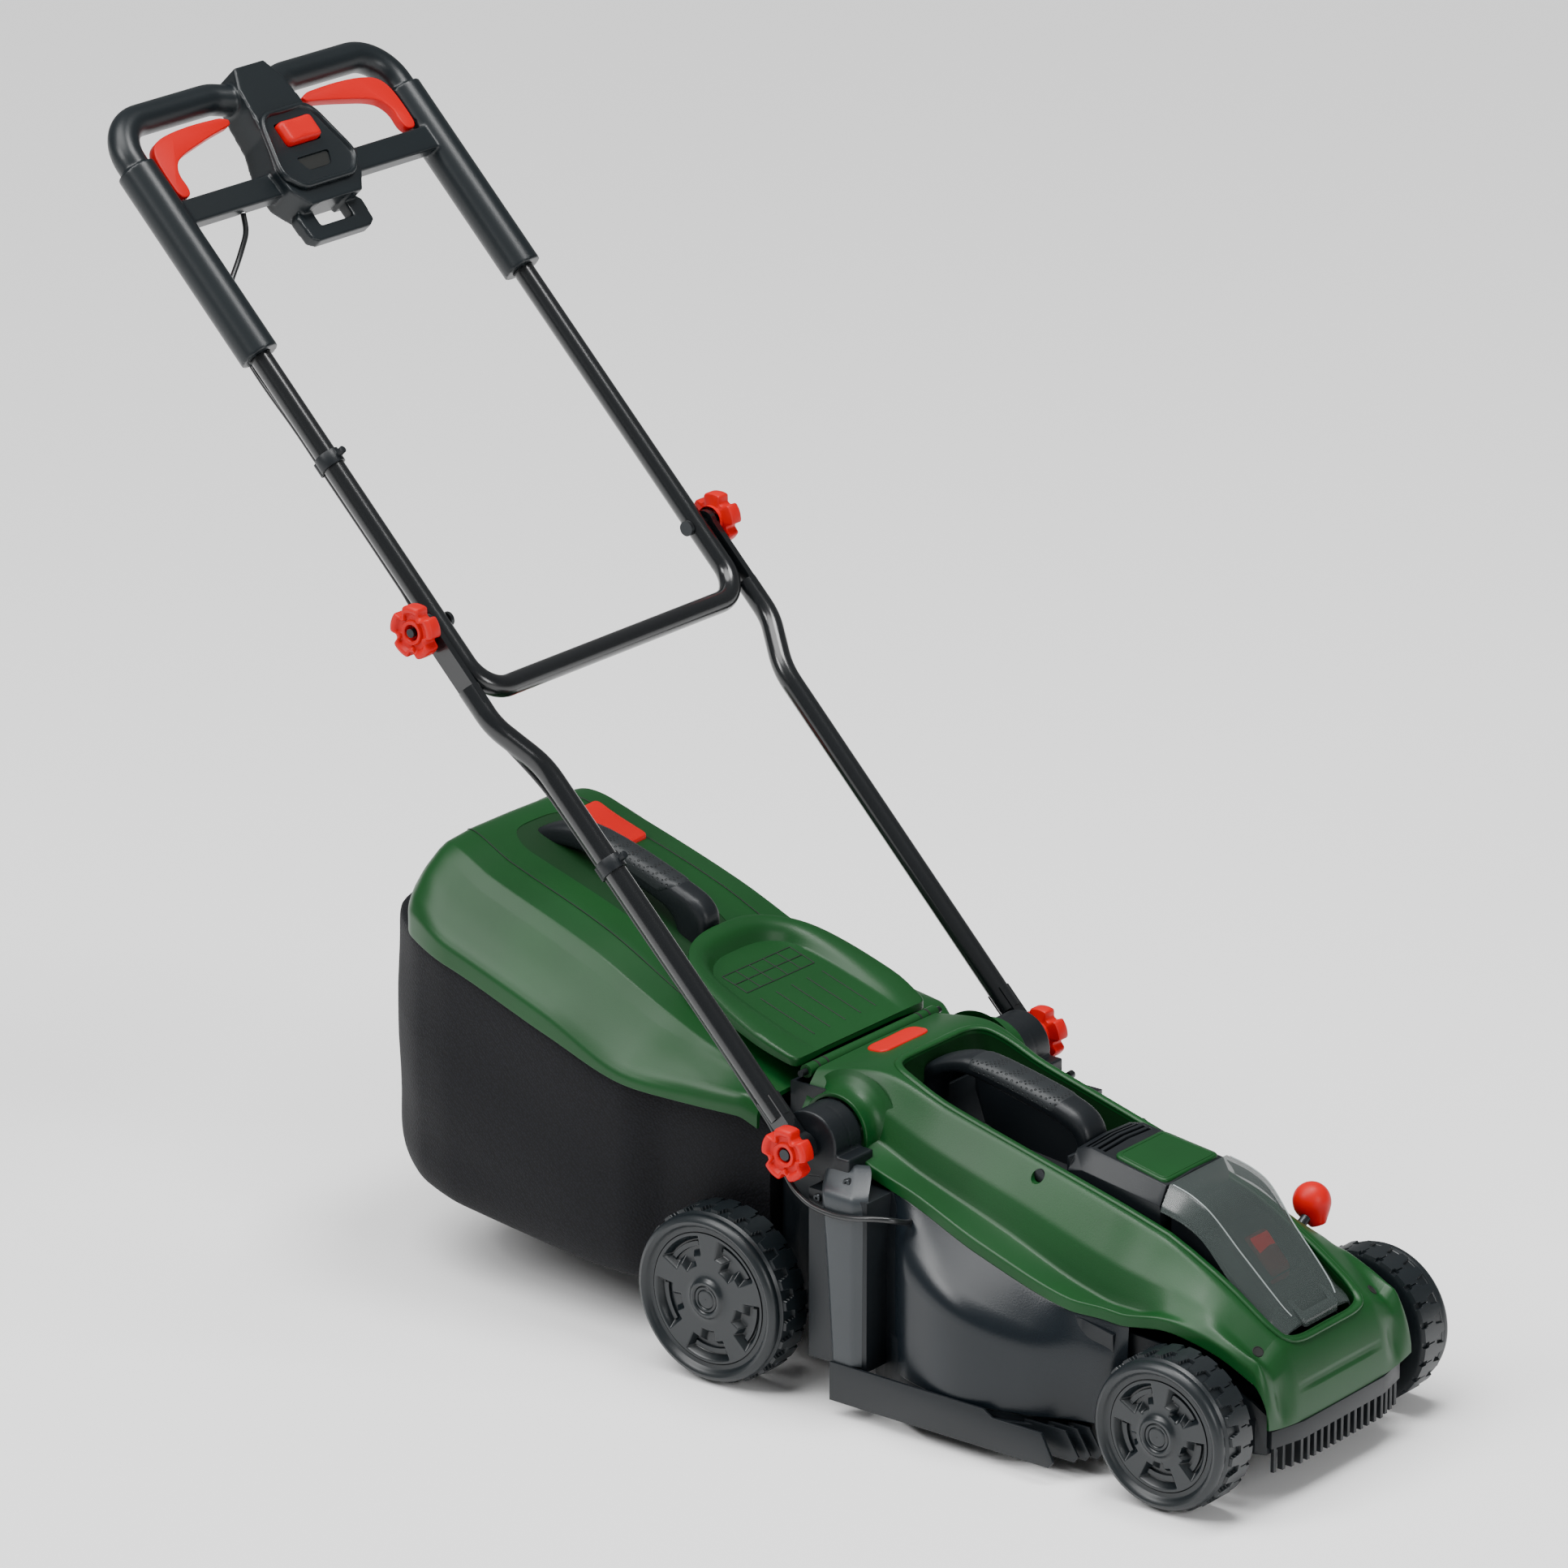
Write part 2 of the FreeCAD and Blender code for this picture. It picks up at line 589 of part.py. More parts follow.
def make_blade():
    flat = box(-blade_r, blade_r, -24, 24, 0, 3.2)
    tips = [plan_prism([(s * 95, -s * 25), (s * 160, -s * 25), (s * 160, -s * 4), (s * 110, -s * 8)],
                       -1, 5) for s in (1, -1)]
    for tip in tips:
        flat = flat.cut(tip)
    wings = [prism([V(s * 110, s * 24, 0), V(s * 152, s * 24, 0), V(s * 150, s * 27, 12),
                    V(s * 118, s * 27, 12)], V(0, -s * 2, 0)) for s in (1, -1)]
    disc = rod_z(0, 0, 0, blade_r + 5, blade_r)
    blade = flat.fuse(wings).common(disc)
    blade = blade.cut(rod_z(0, 0, -1, 10, 4.5))
    blade.translate(V(blade_centre_x, 0, blade_z))
    return biggest(blade)


def make_blade_bolt():
    head = rod_z(blade_centre_x, 0, blade_z - 7, blade_z, 9)
    return head.fuse(rod_z(blade_centre_x, 0, blade_z - 7, 59, 3.9))


def make_control_board():
    return box(310, 372, -38, 38, 176, 178).fuse(box(322, 350, -20, 20, 177, 196))


# ---------------------------------------------------------------- rear flap and hinge
# x, centre z, panel half width, rim half width, rim rise
flap_stations = [(22, 278, 60, 96, 0), (-10, 288, 62, 102, 0), (-80, 310, 60, 92, 4),
                 (-118, 321, 54, 80, 9), (-132, 327, 40, 64, 11), (-138.5, 331, 26, 48, 9)]


def make_rear_flap():
    stations = []
    for x, z, panel, rim, rise in flap_stations:
        stations.append((x, [
            (0.5, z), (panel, z), (panel + 5, z + rise), (rim - 4, z + rise),
            (rim, z - 6 + rise / 2), (rim - 4, z - 6 + rise / 2),
            (panel + 6, z - 4 + rise), (panel + 2, z - 4), (0.5, z - 4)]))
    parts = [loft_along_x(stations)]
    arm = [(18, 274.5), (32, 275.9), (36, 272), (32, 266), (22, 272)]
    for y0, y1 in ((-96, -66), (-20, 20), (66, 96)):
        parts.append(rod_y(hinge_x, hinge_z, y0, y1, 6))
        parts.append(side_prism(arm, y0, y1))
    flap = parts[0].fuse(parts[1:])
    return biggest(flap.cut(rod_y(hinge_x, hinge_z, -110, 110, 3 + run_gap)))


def make_hinge_pin():
    return rod_y(hinge_x, hinge_z, -100, 100, 3)


def make_flap_spring():
    """Torsion spring round the pin, between two hinge barrels, with one leg on the deck."""
    turns, pitch, start = 6, 2.6, 34.0
    coil = Part.makeHelix(pitch, pitch * turns, 5.2)
    ring = Part.Wire(Part.makeCircle(0.9, V(5.2, 0, 0), V(0, 1, 0)))
    spring = Part.Wire(coil).makePipeShell([ring], True, True)
    spring.rotate(V(0, 0, 0), V(1, 0, 0), -90)
    spring.translate(V(hinge_x, start, hinge_z))
    return spring


# ---------------------------------------------------------------- grass box
# x, top z, panel (y, z), crease (y, z), rim (y, z)
lid_stations = [
    (-414, 364, 34, 362, 60, 345, 64, 322),
    (-395, 384, 70, 380, 114, 352, 119, 324),
    (-368, 397, 94, 393, 146, 352, 151, 320),
    (-315, 381, 104, 376, 159, 336, 165, 308),
    (-200, 344, 108, 338, 160, 297, 166, 270),
    (-110, 303, 112, 300, 158, 261, 164, 243),
    (-60, 286, 117, 284, 154, 258, 158, 240),
    (0, 262, 108, 261, 145, 258, 149, 238),
    (17, 254, 104, 253, 138, 250, 142, 228),
]


def lid_half(row, inset=0.0, drop=0.0):
    x, top_z, panel_y, panel_z, crease_y, crease_z, rim_y, rim_z = row
    return [(0.5, top_z - inset), (panel_y - inset / 2, panel_z - inset),
            (crease_y - inset, crease_z - inset / 2), (rim_y - inset, rim_z - drop)]


def make_box_lid():
    outer = loft_along_x([(r[0], lid_half(r)) for r in lid_stations])
    inner_rows = [list(r) for r in lid_stations]
    inner_rows[0][0] += wall
    inner_rows[-1][0] -= wall
    inner = loft_along_x([(r[0], lid_half(r, wall, 30)) for r in inner_rows])
    lid = outer.cut(inner)
    slab = [(-347, 420), (-347, 345), (-330, 336), (-180, 282), (-150, 296), (-126, 340)]
    floor = side_prism([(x - 3 if x < -300 else x, z - 3) for x, z in slab], -47, 47)
    floor = floor.fuse(side_prism([(-350, 420), (-350, 342), (-126, 262), (-123, 420)], -47, 47))
    pocket_wall = floor.common(outer)
    room = side_prism([(-347, 430), (-347, 345), (-180, 285), (-150, 298), (-126, 340)], -44, 44)
    return biggest(lid.fuse(pocket_wall).cut(room))


bag_rows = [
    # x, half width, top z, bottom z
    (-442, 64, 318, 112),
    (-425, 104, 320, 92),
    (-395, 134, 320, 80),
    (-355, 156, 315, 74),
    (-315, 163, 306, 68),
    (-200, 163.5, 267, 54),
    (-130, 158, 242, 48),
    (-84, 140, 240, 50),
    (-40, 137, 237, 58),
    (17, 124, 226, 78),
]


def bag_half(row, inset=0.0):
    x, half, top, bottom = row
    return [(0.5, top + inset), (half - inset, top + inset), (half - inset, bottom + 24),
            (half - 16, bottom + inset), (0.5, bottom + inset)]


def make_box_bag():
    skin = 2.5
    outer = loft_along_x([(r[0], bag_half(r)) for r in bag_rows])
    inner_rows = [list(r) for r in bag_rows]
    inner_rows[0][0] += skin
    inner_rows[-1][0] -= skin
    inner = loft_along_x([(r[0], bag_half(r, skin)) for r in inner_rows])
    bag = outer.cut(inner)
    above = loft_along_x([(r[0], [(0.5, r[2] + 60), (r[1] - skin, r[2] + 60), (r[1] - skin, r[2] - 8),
                                  (0.5, r[2] - 8)]) for r in inner_rows])
    mouth = box(10, 20, -duct_y, duct_y, 88, 240)
    lid_outer = loft_along_x([(r[0], lid_half(r, 0, 0)) for r in lid_stations])
    return biggest(bag.cut(above).cut(mouth).cut(lid_outer.translated(V(0, 0, -0.4))))


def make_box_frame():
    ring = box(17.0, 19.4, -100, 100, 80, 225)
    return ring.cut(box(10, 30, -duct_y - 1, duct_y + 1, 87, 221))


def make_box_handle():
    outer = [(-340, 352), (-352, 376), (-344, 388), (-313, 402), (-268, 402), (-162, 366),
             (-147, 355), (-142, 343), (-147, 292), (-174, 282), (-182, 300)]
    inner = [(-176, 322), (-188, 340), (-212, 352), (-272, 374), (-300, 374), (-326, 364)]
    arch = side_prism(outer + inner, -14, 14)
    return arch.makeChamfer(3.0, [e for e in arch.Edges if abs(e.Length - 28) > 0.1])


def make_level_flap():
    """Fill-level flap that lies on the lid beside the handle, hinged at its front edge."""
    slope_up = (lid_stations[3][1] - lid_stations[4][1]) / (lid_stations[4][0] - lid_stations[3][0])
    rear, front, lift = -313.0, -276.0, 0.8
    z_rear, z_front = [381 + lift - (x + 315) * slope_up for x in (rear, front)]
    plate = side_prism([(rear, z_rear), (front, z_front), (front, z_front + 2.5),
                        (rear, z_rear + 2.5)], 24, 68)
    barrel = rod_y(front, z_front + 1.3, 24, 68, 1.2)
    print(f"level flap hinge line x {front:.2f} z {z_front + 1.3:.3f}")
    return plate.fuse(barrel)


# ---------------------------------------------------------------- handle tubes
def make_lower_tube():
    """Handle tube with a flat eye at its top and a thicker flat lug at its foot."""
    y0, y1, top_s, foot_s = 166.0, 193.8, -66.0, -lower_len + 31
    points = [V(foot_s, y0, 0), V(-156, 168, 0), V(-106, y1, 0), V(top_s, y1, 0)]
    tube = swept(points, [64, 52], tube_r).cut(swept(points, [64, 52], tube_r - tube_wall))
    eye_bar = Part.makeBox(20 - top_s, 6.4, 19.6, V(top_s - 20, y1 - 3.2, -9.8))
    lug_bar = Part.makeBox(52, 13, 18, V(-lower_len, y0 - 6.5, -9))
    eye = Part.makeCylinder(11, 6.4, V(0, y1 - 3.2, 0), V(0, 1, 0))
    lug = Part.makeCylinder(13, 13, V(-lower_len, y0 - 6.5, 0), V(0, 1, 0))
    tube = tube.fuse([eye_bar, lug_bar, eye, lug])
    for s, radius in ((0, 4), (-lower_len, 5)):
        tube = tube.cut(Part.makeCylinder(radius + run_gap, 60, V(s, y0 - 20, 0), V(0, 1, 0)))
    return biggest(tube)


def make_upper_tube():
    y, s = upper_tube_y, cross_bar_s
    points = [V(470, y, 0), V(s, y, 0), V(s, -y, 0), V(470, -y, 0)]
    tube = swept(points, [cross_bend, cross_bend], tube_r)
    tube = tube.cut(swept(points, [cross_bend, cross_bend], tube_r - tube_wall))
    return biggest(tube.cut(Part.makeCylinder(4, 400, V(0, -200, 0), V(0, 1, 0))))


def make_handle_bolts():
    bolt = Part.makeCylinder(4, 50.8, V(0, 166, 0), V(0, 1, 0))
    bolt = bolt.fuse(Part.makeCylinder(7, 4, V(0, 165.2, 0), V(0, 1, 0)))
    return grouped([on_handle(bolt), on_handle(right_of(bolt))])


def make_knob(y0):
    """Five-lobed clamp knob turning on Y, its back face at y0."""
    body = Part.makeCylinder(knob_r - 5, 13, V(0, y0 + 4, 0), V(0, 1, 0))
    body = body.fuse(Part.makeCylinder(13, 6, V(0, y0, 0), V(0, 1, 0)))
    for k in range(5):
        a = math.radians(90 + 72 * k)
        at = V((knob_r - 7) * math.cos(a), y0 + 4, (knob_r - 7) * math.sin(a))
        lobe = Part.makeCylinder(7.5, 17, at, V(0, 1, 0))
        gap_angle = a + math.radians(36)
        gap_at = V((knob_r + 3) * math.cos(gap_angle), y0, (knob_r + 3) * math.sin(gap_angle))
        body = body.fuse(lobe).cut(Part.makeCylinder(9, 30, gap_at, V(0, 1, 0)))
    body = body.cut(Part.makeCylinder(9, 10, V(0, y0 + 13, 0), V(0, 1, 0)))
    ring = Part.makeCylinder(9.5, 4, V(0, y0 + 12, 0), V(0, 1, 0))
    return body.fuse(ring)


def knob_on_bolt(place, y0, bolt_radius):
    knob = make_knob(y0)
    knob = knob.cut(Part.makeCylinder(bolt_radius + run_gap, 60, V(0, y0 - 5, 0), V(0, 1, 0)))
    knob.translate(place)
    return biggest(knob)


# ---------------------------------------------------------------- handle console
mast_half = [(548, 20), (528, 30), (478, 36), (442, 50), (418, 48), (400, 34)]
button_s, button_half = (458.5, 482.5), 22.0
lever_pin_s = 454.0


def outline_on_handle(half, w0, w1):
    points = [V(s, y, w0) for s, y in half] + [V(s, -y, w0) for s, y in reversed(half)]
    return prism(points, V(0, 0, w1 - w0))


def make_console():
    y = upper_tube_y
    sleeve = Part.makeCylinder(sleeve_r, 490 - sleeve_s, V(sleeve_s, y, 0), V(1, 0, 0))
    path = [V(488, y, 0), V(grip_top_s, y, 0), V(grip_top_s, 48, 0), V(grip_top_s - 12, 20, 4),
            V(grip_top_s - 12, -20, 4), V(grip_top_s, -48, 0), V(grip_top_s, -y, 0), V(488, -y, 0)]
    arch = swept(path, [38, 30, 20, 20, 30, 38], grip_r)
    mast = outline_on_handle(mast_half, -14, 21.5)
    bar = Part.makeBox(24, 2 * y, 15, V(421, -y, -3))
    loop = outline_on_handle([(412, 30), (398, 44), (376, 42), (371, 34)], -6, 6)
    slot = outline_on_handle([(403, 22), (385, 22)], -20, 20)
    console = arch.fuse([sleeve, right_of(sleeve), bar, mast, loop]).cut(slot)
    bore = Part.makeCylinder(tube_r, 471 - sleeve_s, V(sleeve_s - 1, y, 0), V(1, 0, 0))
    b0, b1 = button_s
    pocket = Part.makeBox(b1 - b0 + 1.6, 2 * button_half + 1.6, 30,
                          V(b0 - 0.8, -button_half - 0.8, 5))
    wires = Part.makeBox(70, 50, 24, V(440, -25, -11))
    console = console.cut(both_sides(bore)).cut(pocket)
    for side in (1, -1):
        y0 = 158.0 if side > 0 else -164.4
        console = console.cut(Part.makeCylinder(3 + run_gap, 6.4, V(lever_pin_s, y0, 4), V(0, 1, 0)))
    entry = Part.makeCylinder(3.0, 18, cable_start - V(8, 0, 0), V(1, 0, 0))
    return biggest(console.cut(entry))


def make_console_plate():
    half = [(508, 25), (474, 40), (442, 47), (424, 34)]
    plate = outline_on_handle(half, 22, 27.5)
    b0, b1 = button_s
    hole = Part.makeBox(b1 - b0 + 1.6, 2 * button_half + 1.6, 10,
                        V(b0 - 0.8, -button_half - 0.8, 20))
    recess = outline_on_handle([(446, 22), (432, 15)], 24, 30)
    return plate.cut(hole).cut(recess)


def make_lock_button():
    b0, b1 = button_s
    body = Part.makeBox(b1 - b0, 2 * button_half, 22, V(b0, -button_half, 10))
    return body.makeFillet(2.5, [e for e in body.Edges if e.CenterOfMass.z > 31])


def make_bail_lever():
    """Switch lever inside the right-hand grip: top finger bar, corner, side arm, pin at its foot."""
    points = [V(507, 47, 4), V(507, 151, 4), V(lever_pin_s, 151, 4)]
    lever = swept(points, [22], 5)
    foot = Part.makeCylinder(7, 12, V(lever_pin_s, 145, 4), V(0, 1, 0))
    pin = Part.makeCylinder(3, 10, V(lever_pin_s, 154, 4), V(0, 1, 0))
    return lever.fuse([foot, pin])


# ---------------------------------------------------------------- control cable
cable_start = V(419, 92, -2)


def cable_run(points, shrink=0.45):
    """Round cable along hand-picked points, with arcs as large as the runs allow."""
    bends = []
    for i in range(1, len(points) - 1):
        a = points[i] - points[i - 1]
        b = points[i + 1] - points[i]
        turn = a.getAngle(b)
        bends.append(shrink * min(a.Length, b.Length) / math.tan(turn / 2))
    cable = swept(points, bends, cable_r)
    print(f"cable run {cable.Volume / (math.pi * cable_r ** 2):.0f} mm long")
    return cable


def make_cable_upper():
    y = upper_tube_y
    points = [V(421, 92, -2), V(405, 97, -6), V(388, 112, -17), V(368, 136, -25), V(341, 156, -26),
              V(300, 168.5, -24.5), V(262, 175, -19), V(216, 178.8, cable_back),
              V(165, y, cable_back), V(114, 179.2, cable_back), V(62, y, cable_back)]
    return on_handle(cable_run(points))


def make_cable_loop_upper():
    points = [V(62, upper_tube_y, cable_back), V(36, 179.63, cable_back),
              V(2, 182.5, cable_back - 3), V(-36, 186.2, cable_back), V(-66, 187.6, cable_back)]
    return on_handle(cable_run(points))


def make_cable_lower():
    points = [V(-66, 187.6, cable_back), V(-96, 189, cable_back),
              V(-132, 177, cable_back - 0.6), V(-172, 168.4, cable_back), V(-226, 167.2, cable_back),
              V(-284, 166.6, cable_back - 0.2), V(-342, 166.6, cable_back),
              V(-400, 165.4, cable_back), V(-458, 165.2, cable_back),
              V(-508, 164.4, cable_back - 2.0)]
    return on_handle(cable_run(points))


def handle_point(s, y, w):
    p = upper_pivot + along * s + outward * w
    return V(p.x, -y, p.z)


def make_cable_loop_lower():
    points = [handle_point(-508, 164.4, cable_back - 2.0), handle_point(-530, 164.05, cable_back - 2.88),
              V(61.5, -165.6, 229), V(67, -168.3, 211.5), V(81, -172.5, 198), V(102, -176.8, 189.5),
              V(128, -178.8, 187.2), V(152, -178.8, 190), V(171, -175, 193.5), V(184, -165.5, 192),
              V(186.3, -152.5, 186.5), cable_end]
    return cable_run(points, 0.44)


def make_clip(s, y):
    outer = Part.makeCylinder(tube_r + 2, 13, V(s - 6.5, y, 0), V(1, 0, 0))
    saddle = Part.makeCylinder(cable_r + 2, 13, V(s - 6.5, y, cable_back), V(1, 0, 0))
    stud = Part.makeCylinder(3.4, 8, V(s, y - 3, tube_r), V(0, 0, 1))
    clip = outer.fuse([saddle, stud])
    clip = clip.cut(Part.makeCylinder(tube_r + 0.3, 30, V(s - 15, y, 0), V(1, 0, 0)))
    return clip.cut(Part.makeCylinder(cable_r + 0.9, 30, V(s - 15, y, cable_back), V(1, 0, 0)))


# ---------------------------------------------------------------- assembly
def build():
    cover = keep("upper_cover", make_upper_cover())
    keep("deck_shell", make_deck_shell())
    cowl = keep("motor_cowl", make_motor_cowl())
    keep("badge_plate", make_badge_plate())
    keep("battery_tray", make_battery_tray())
    keep("battery_pack", make_battery_pack())
    keep("battery_lid", make_battery_lid())
    keep("carry_handle", biggest(make_carry_handle().cut(cover).cut(cowl)))
    keep("rear_insert", make_rear_insert())
    keep("front_comb", make_front_comb())
    comb, strut, drum, bolt = make_grass_comb(), make_strut(), make_pivot_drum(), make_pivot_bolt()
    keep("grass_combs", grouped([comb, right_of(comb)]))
    keep("side_struts", grouped([strut, right_of(strut)]))
    keep("pivot_drums", grouped([drum, right_of(drum)]))
    keep("pivot_bolts", grouped([bolt, right_of(bolt)]))
    keep("cover_screws", grouped(make_screws()))
    keep("motor_can", make_motor_can())
    keep("motor_shaft", make_motor_shaft())
    keep("blade", make_blade())
    keep("blade_bolt", make_blade_bolt())
    keep("control_board", make_control_board())
    keep("rear_flap", make_rear_flap())
    keep("flap_hinge_pin", make_hinge_pin())
    keep("flap_spring", make_flap_spring())

    rear_hub, front_hub = V(0, 0, rear_wheel_r), V(wheelbase, 0, front_wheel_r)
    keep("rear_axle", make_axle(rear_crank, rear_hub, 130, rear_wheel_out))
    keep("front_axle", make_axle(front_crank, front_hub, 113, front_wheel_out))
    keep("link_rod", make_link_rod())
    keep("height_lever", make_height_lever())
    keep("height_knob", Part.makeSphere(lever_knob_r, lever_knob))
    for place, hub, out, radius in (("rear", rear_hub, rear_wheel_out, rear_wheel_r),
                                    ("front", front_hub, front_wheel_out, front_wheel_r)):
        tyre, disc = make_tyre(hub, out, radius), make_disc(hub, out, radius)
        for side, turn in (("left", lambda s: s), ("right", right_of)):
            keep(f"{place}_{side}_tyre", turn(tyre))
            keep(f"{place}_{side}_disc", turn(disc))

    lid = keep("grass_box_lid", make_box_lid())
    keep("grass_box_bag", make_box_bag())
    keep("grass_box_frame", make_box_frame())
    keep("grass_box_handle", biggest(make_box_handle().cut(lid)))
    keep("level_flap", make_level_flap())

    tube = keep("lower_tube_left", on_handle(right_of(make_lower_tube())))
    keep("lower_tube_right", right_of(tube))
    keep("upper_tube", on_handle(make_upper_tube()))
    keep("handle_bolts", make_handle_bolts())
    keep("handle_console", on_handle(make_console()))
    keep("console_plate", on_handle(make_console_plate()))
    keep("lock_button", on_handle(make_lock_button()))
    bail = make_bail_lever()
    keep("bail_lever_right", on_handle(bail))
    keep("bail_lever_left", on_handle(right_of(bail)))
    upper_knob = knob_on_bolt(upper_pivot, 198.5, 4)
    lower_knob = knob_on_bolt(pivot, 173.0, 5)
    for side, turn in (("left", lambda s: s), ("right", right_of)):
        keep(f"upper_knob_{side}", turn(upper_knob))
        keep(f"lower_knob_{side}", turn(lower_knob))
    keep("cable_upper", make_cable_upper())
    keep("cable_loop_upper", make_cable_loop_upper())
    keep("cable_lower", make_cable_lower())
    keep("cable_loop_lower", make_cable_loop_lower())
    keep("cable_clip_upper", on_handle(make_clip(174, upper_tube_y)))
    keep("cable_clip_lower", on_handle(make_clip(-262, 167.4)))


def export():
    os.makedirs("parts", exist_ok=True)
    for name, shape in pieces:
        moved = shape.translated(V(origin_shift_x, 0, 0))
        moved.exportStep(f"parts/{name}.step")
        b = moved.BoundBox
        state = "ok" if moved.isValid() and moved.Volume > 0 else "BAD"
        print(f"{name:20s} {state} solids {len(moved.Solids)} vol {moved.Volume / 1000:9.1f} cm3",
              f"x {b.XMin:.0f}..{b.XMax:.0f} y {b.YMin:.0f}..{b.YMax:.0f} z {b.ZMin:.1f}..{b.ZMax:.1f}")


build()
export()
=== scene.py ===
import math
import json
import bpy
import bmesh
import numpy as np
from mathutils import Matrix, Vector

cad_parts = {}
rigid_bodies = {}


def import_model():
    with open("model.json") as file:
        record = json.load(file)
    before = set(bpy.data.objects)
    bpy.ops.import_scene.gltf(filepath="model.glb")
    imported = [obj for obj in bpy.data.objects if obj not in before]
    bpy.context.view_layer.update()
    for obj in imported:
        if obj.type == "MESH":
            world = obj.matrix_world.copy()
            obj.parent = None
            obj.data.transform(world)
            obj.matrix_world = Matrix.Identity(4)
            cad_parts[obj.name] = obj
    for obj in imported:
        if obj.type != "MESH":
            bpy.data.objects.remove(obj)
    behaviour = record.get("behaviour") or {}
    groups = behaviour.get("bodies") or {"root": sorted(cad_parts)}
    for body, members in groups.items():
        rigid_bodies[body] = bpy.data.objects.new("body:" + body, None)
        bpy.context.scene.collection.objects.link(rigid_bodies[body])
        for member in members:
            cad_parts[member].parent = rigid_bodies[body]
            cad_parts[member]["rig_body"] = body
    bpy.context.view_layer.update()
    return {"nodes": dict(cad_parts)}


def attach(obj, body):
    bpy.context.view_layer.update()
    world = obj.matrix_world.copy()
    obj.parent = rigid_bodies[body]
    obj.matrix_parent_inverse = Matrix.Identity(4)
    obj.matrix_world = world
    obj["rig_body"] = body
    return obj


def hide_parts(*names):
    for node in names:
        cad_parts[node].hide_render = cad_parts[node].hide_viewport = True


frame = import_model()
nodes = frame["nodes"]

# ---------------------------------------------------------------- places, in millimetres
shift_x = 79.5                                   # rear axle in the shared frame
pivot = np.array([84.0, 0.0, 235.0])
slope = math.radians(45.6)
along = np.array([-math.cos(slope), 0.0, math.sin(slope)])
outward = np.array([math.sin(slope), 0.0, math.cos(slope)])
upper = pivot + along * 558.6                    # pivot of the upper handle
sides = ((-1, "right"), (1, "left"))


def circle(centre, radius, n):
    """Points of a circle, as pairs."""
    a = np.linspace(0, 2 * math.pi, n, endpoint=False)
    return np.column_stack([centre[0] + radius * np.cos(a), centre[1] + radius * np.sin(a)])


def metres(points):
    """Mower's millimetres to the frame's metres."""
    p = np.asarray(points, float).reshape(-1, 3) * 0.001
    p[:, 0] += shift_x * 0.001
    return p


def on_handle(points):
    """(s up the handle, y, w square to it) to the mower's frame."""
    p = np.asarray(points, float).reshape(-1, 3)
    q = upper + p[:, :1] * along + p[:, 2:] * outward
    q[:, 1] = p[:, 1]
    return q


# ---------------------------------------------------------------- finishes
looks = {}


def new_look(name):
    """New material, kept in looks: its node tree and its shader."""
    m = bpy.data.materials.new(name)
    m.use_nodes = True
    looks[name] = m
    return m.node_tree, m.node_tree.nodes["Principled BSDF"]


def bumped(tree, shader, height, strength, distance):
    """Relief from a height output."""
    bump = tree.nodes.new("ShaderNodeBump")
    bump.inputs["Strength"].default_value = strength
    bump.inputs["Distance"].default_value = distance
    tree.links.new(height, bump.inputs["Height"])
    tree.links.new(bump.outputs["Normal"], shader.inputs["Normal"])


def noise(tree, scale, detail=2.0):
    """Noise over the object's own coordinates."""
    place = tree.nodes.new("ShaderNodeTexCoord")
    n = tree.nodes.new("ShaderNodeTexNoise")
    n.inputs["Scale"].default_value = scale
    n.inputs["Detail"].default_value = detail
    tree.links.new(place.outputs["Object"], n.inputs["Vector"])
    return n


def ramp(tree, source, low, high, dark, light):
    """Source turned into a colour between dark and light."""
    r = tree.nodes.new("ShaderNodeValToRGB")
    r.color_ramp.elements[0].position = low
    r.color_ramp.elements[1].position = high
    r.color_ramp.elements[0].color = (*dark, 1)
    r.color_ramp.elements[1].color = (*light, 1)
    tree.links.new(source, r.inputs["Fac"])
    return r


def plastic(name, colour, rough, grain=900.0, strength=0.12, vary=0.12, coat=0.0, metal=0.0, spec=0.5):
    """Moulded surface: a fine grain in the relief and a slow unevenness in the colour."""
    tree, shader = new_look(name)
    slow = noise(tree, 9.0, 3.0)
    darker = tuple(c * (1 - vary) for c in colour)
    lighter = tuple(min(1.0, c * (1 + vary)) for c in colour)
    tone = ramp(tree, slow.outputs["Fac"], 0.3, 0.7, darker, lighter)
    tree.links.new(tone.outputs["Color"], shader.inputs["Base Color"])
    fine = noise(tree, grain, 2.0)
    bumped(tree, shader, fine.outputs["Fac"], strength, 0.0004)
    shader.inputs["Roughness"].default_value = rough
    shader.inputs["Metallic"].default_value = metal
    shader.inputs["Specular IOR Level"].default_value = spec
    if coat:
        shader.inputs["Coat Weight"].default_value = coat
        shader.inputs["Coat Roughness"].default_value = 0.12


plastic("green_plastic", (0.0024, 0.046, 0.008), 0.40, 800, 0.14, spec=0.30)
# painted shade: a darker copy of the green plastic for inner walls and recesses, where shade falls
plastic("shaded_inner_green", (0.002, 0.026, 0.005), 0.5, 800, 0.14, spec=0.3)
plastic("black_plastic", (0.004, 0.006, 0.008), 0.42, 900, 0.12, spec=0.35)
plastic("satin_black_plastic", (0.005, 0.008, 0.011), 0.27, 700, 0.20, spec=0.33)
plastic("strut_satin", (0.024, 0.029, 0.033), 0.34, 700, 0.20, spec=0.42)
plastic("console_plastic", (0.004, 0.007, 0.009), 0.36, 1100, 0.10, spec=0.4)
plastic("grip_rubber", (0.005, 0.007, 0.009), 0.5, 1200, 0.18, spec=0.35)
plastic("battery_plastic", (0.02, 0.02, 0.022), 0.5)
plastic("board_plastic", (0.02, 0.10, 0.05), 0.5)
plastic("red_plastic", (0.52, 0.0, 0.001), 0.42, 900, 0.05, 0.04, spec=0.22)
plastic("motor_metal", (0.25, 0.26, 0.27), 0.38, 500, 0.1, metal=0.9)
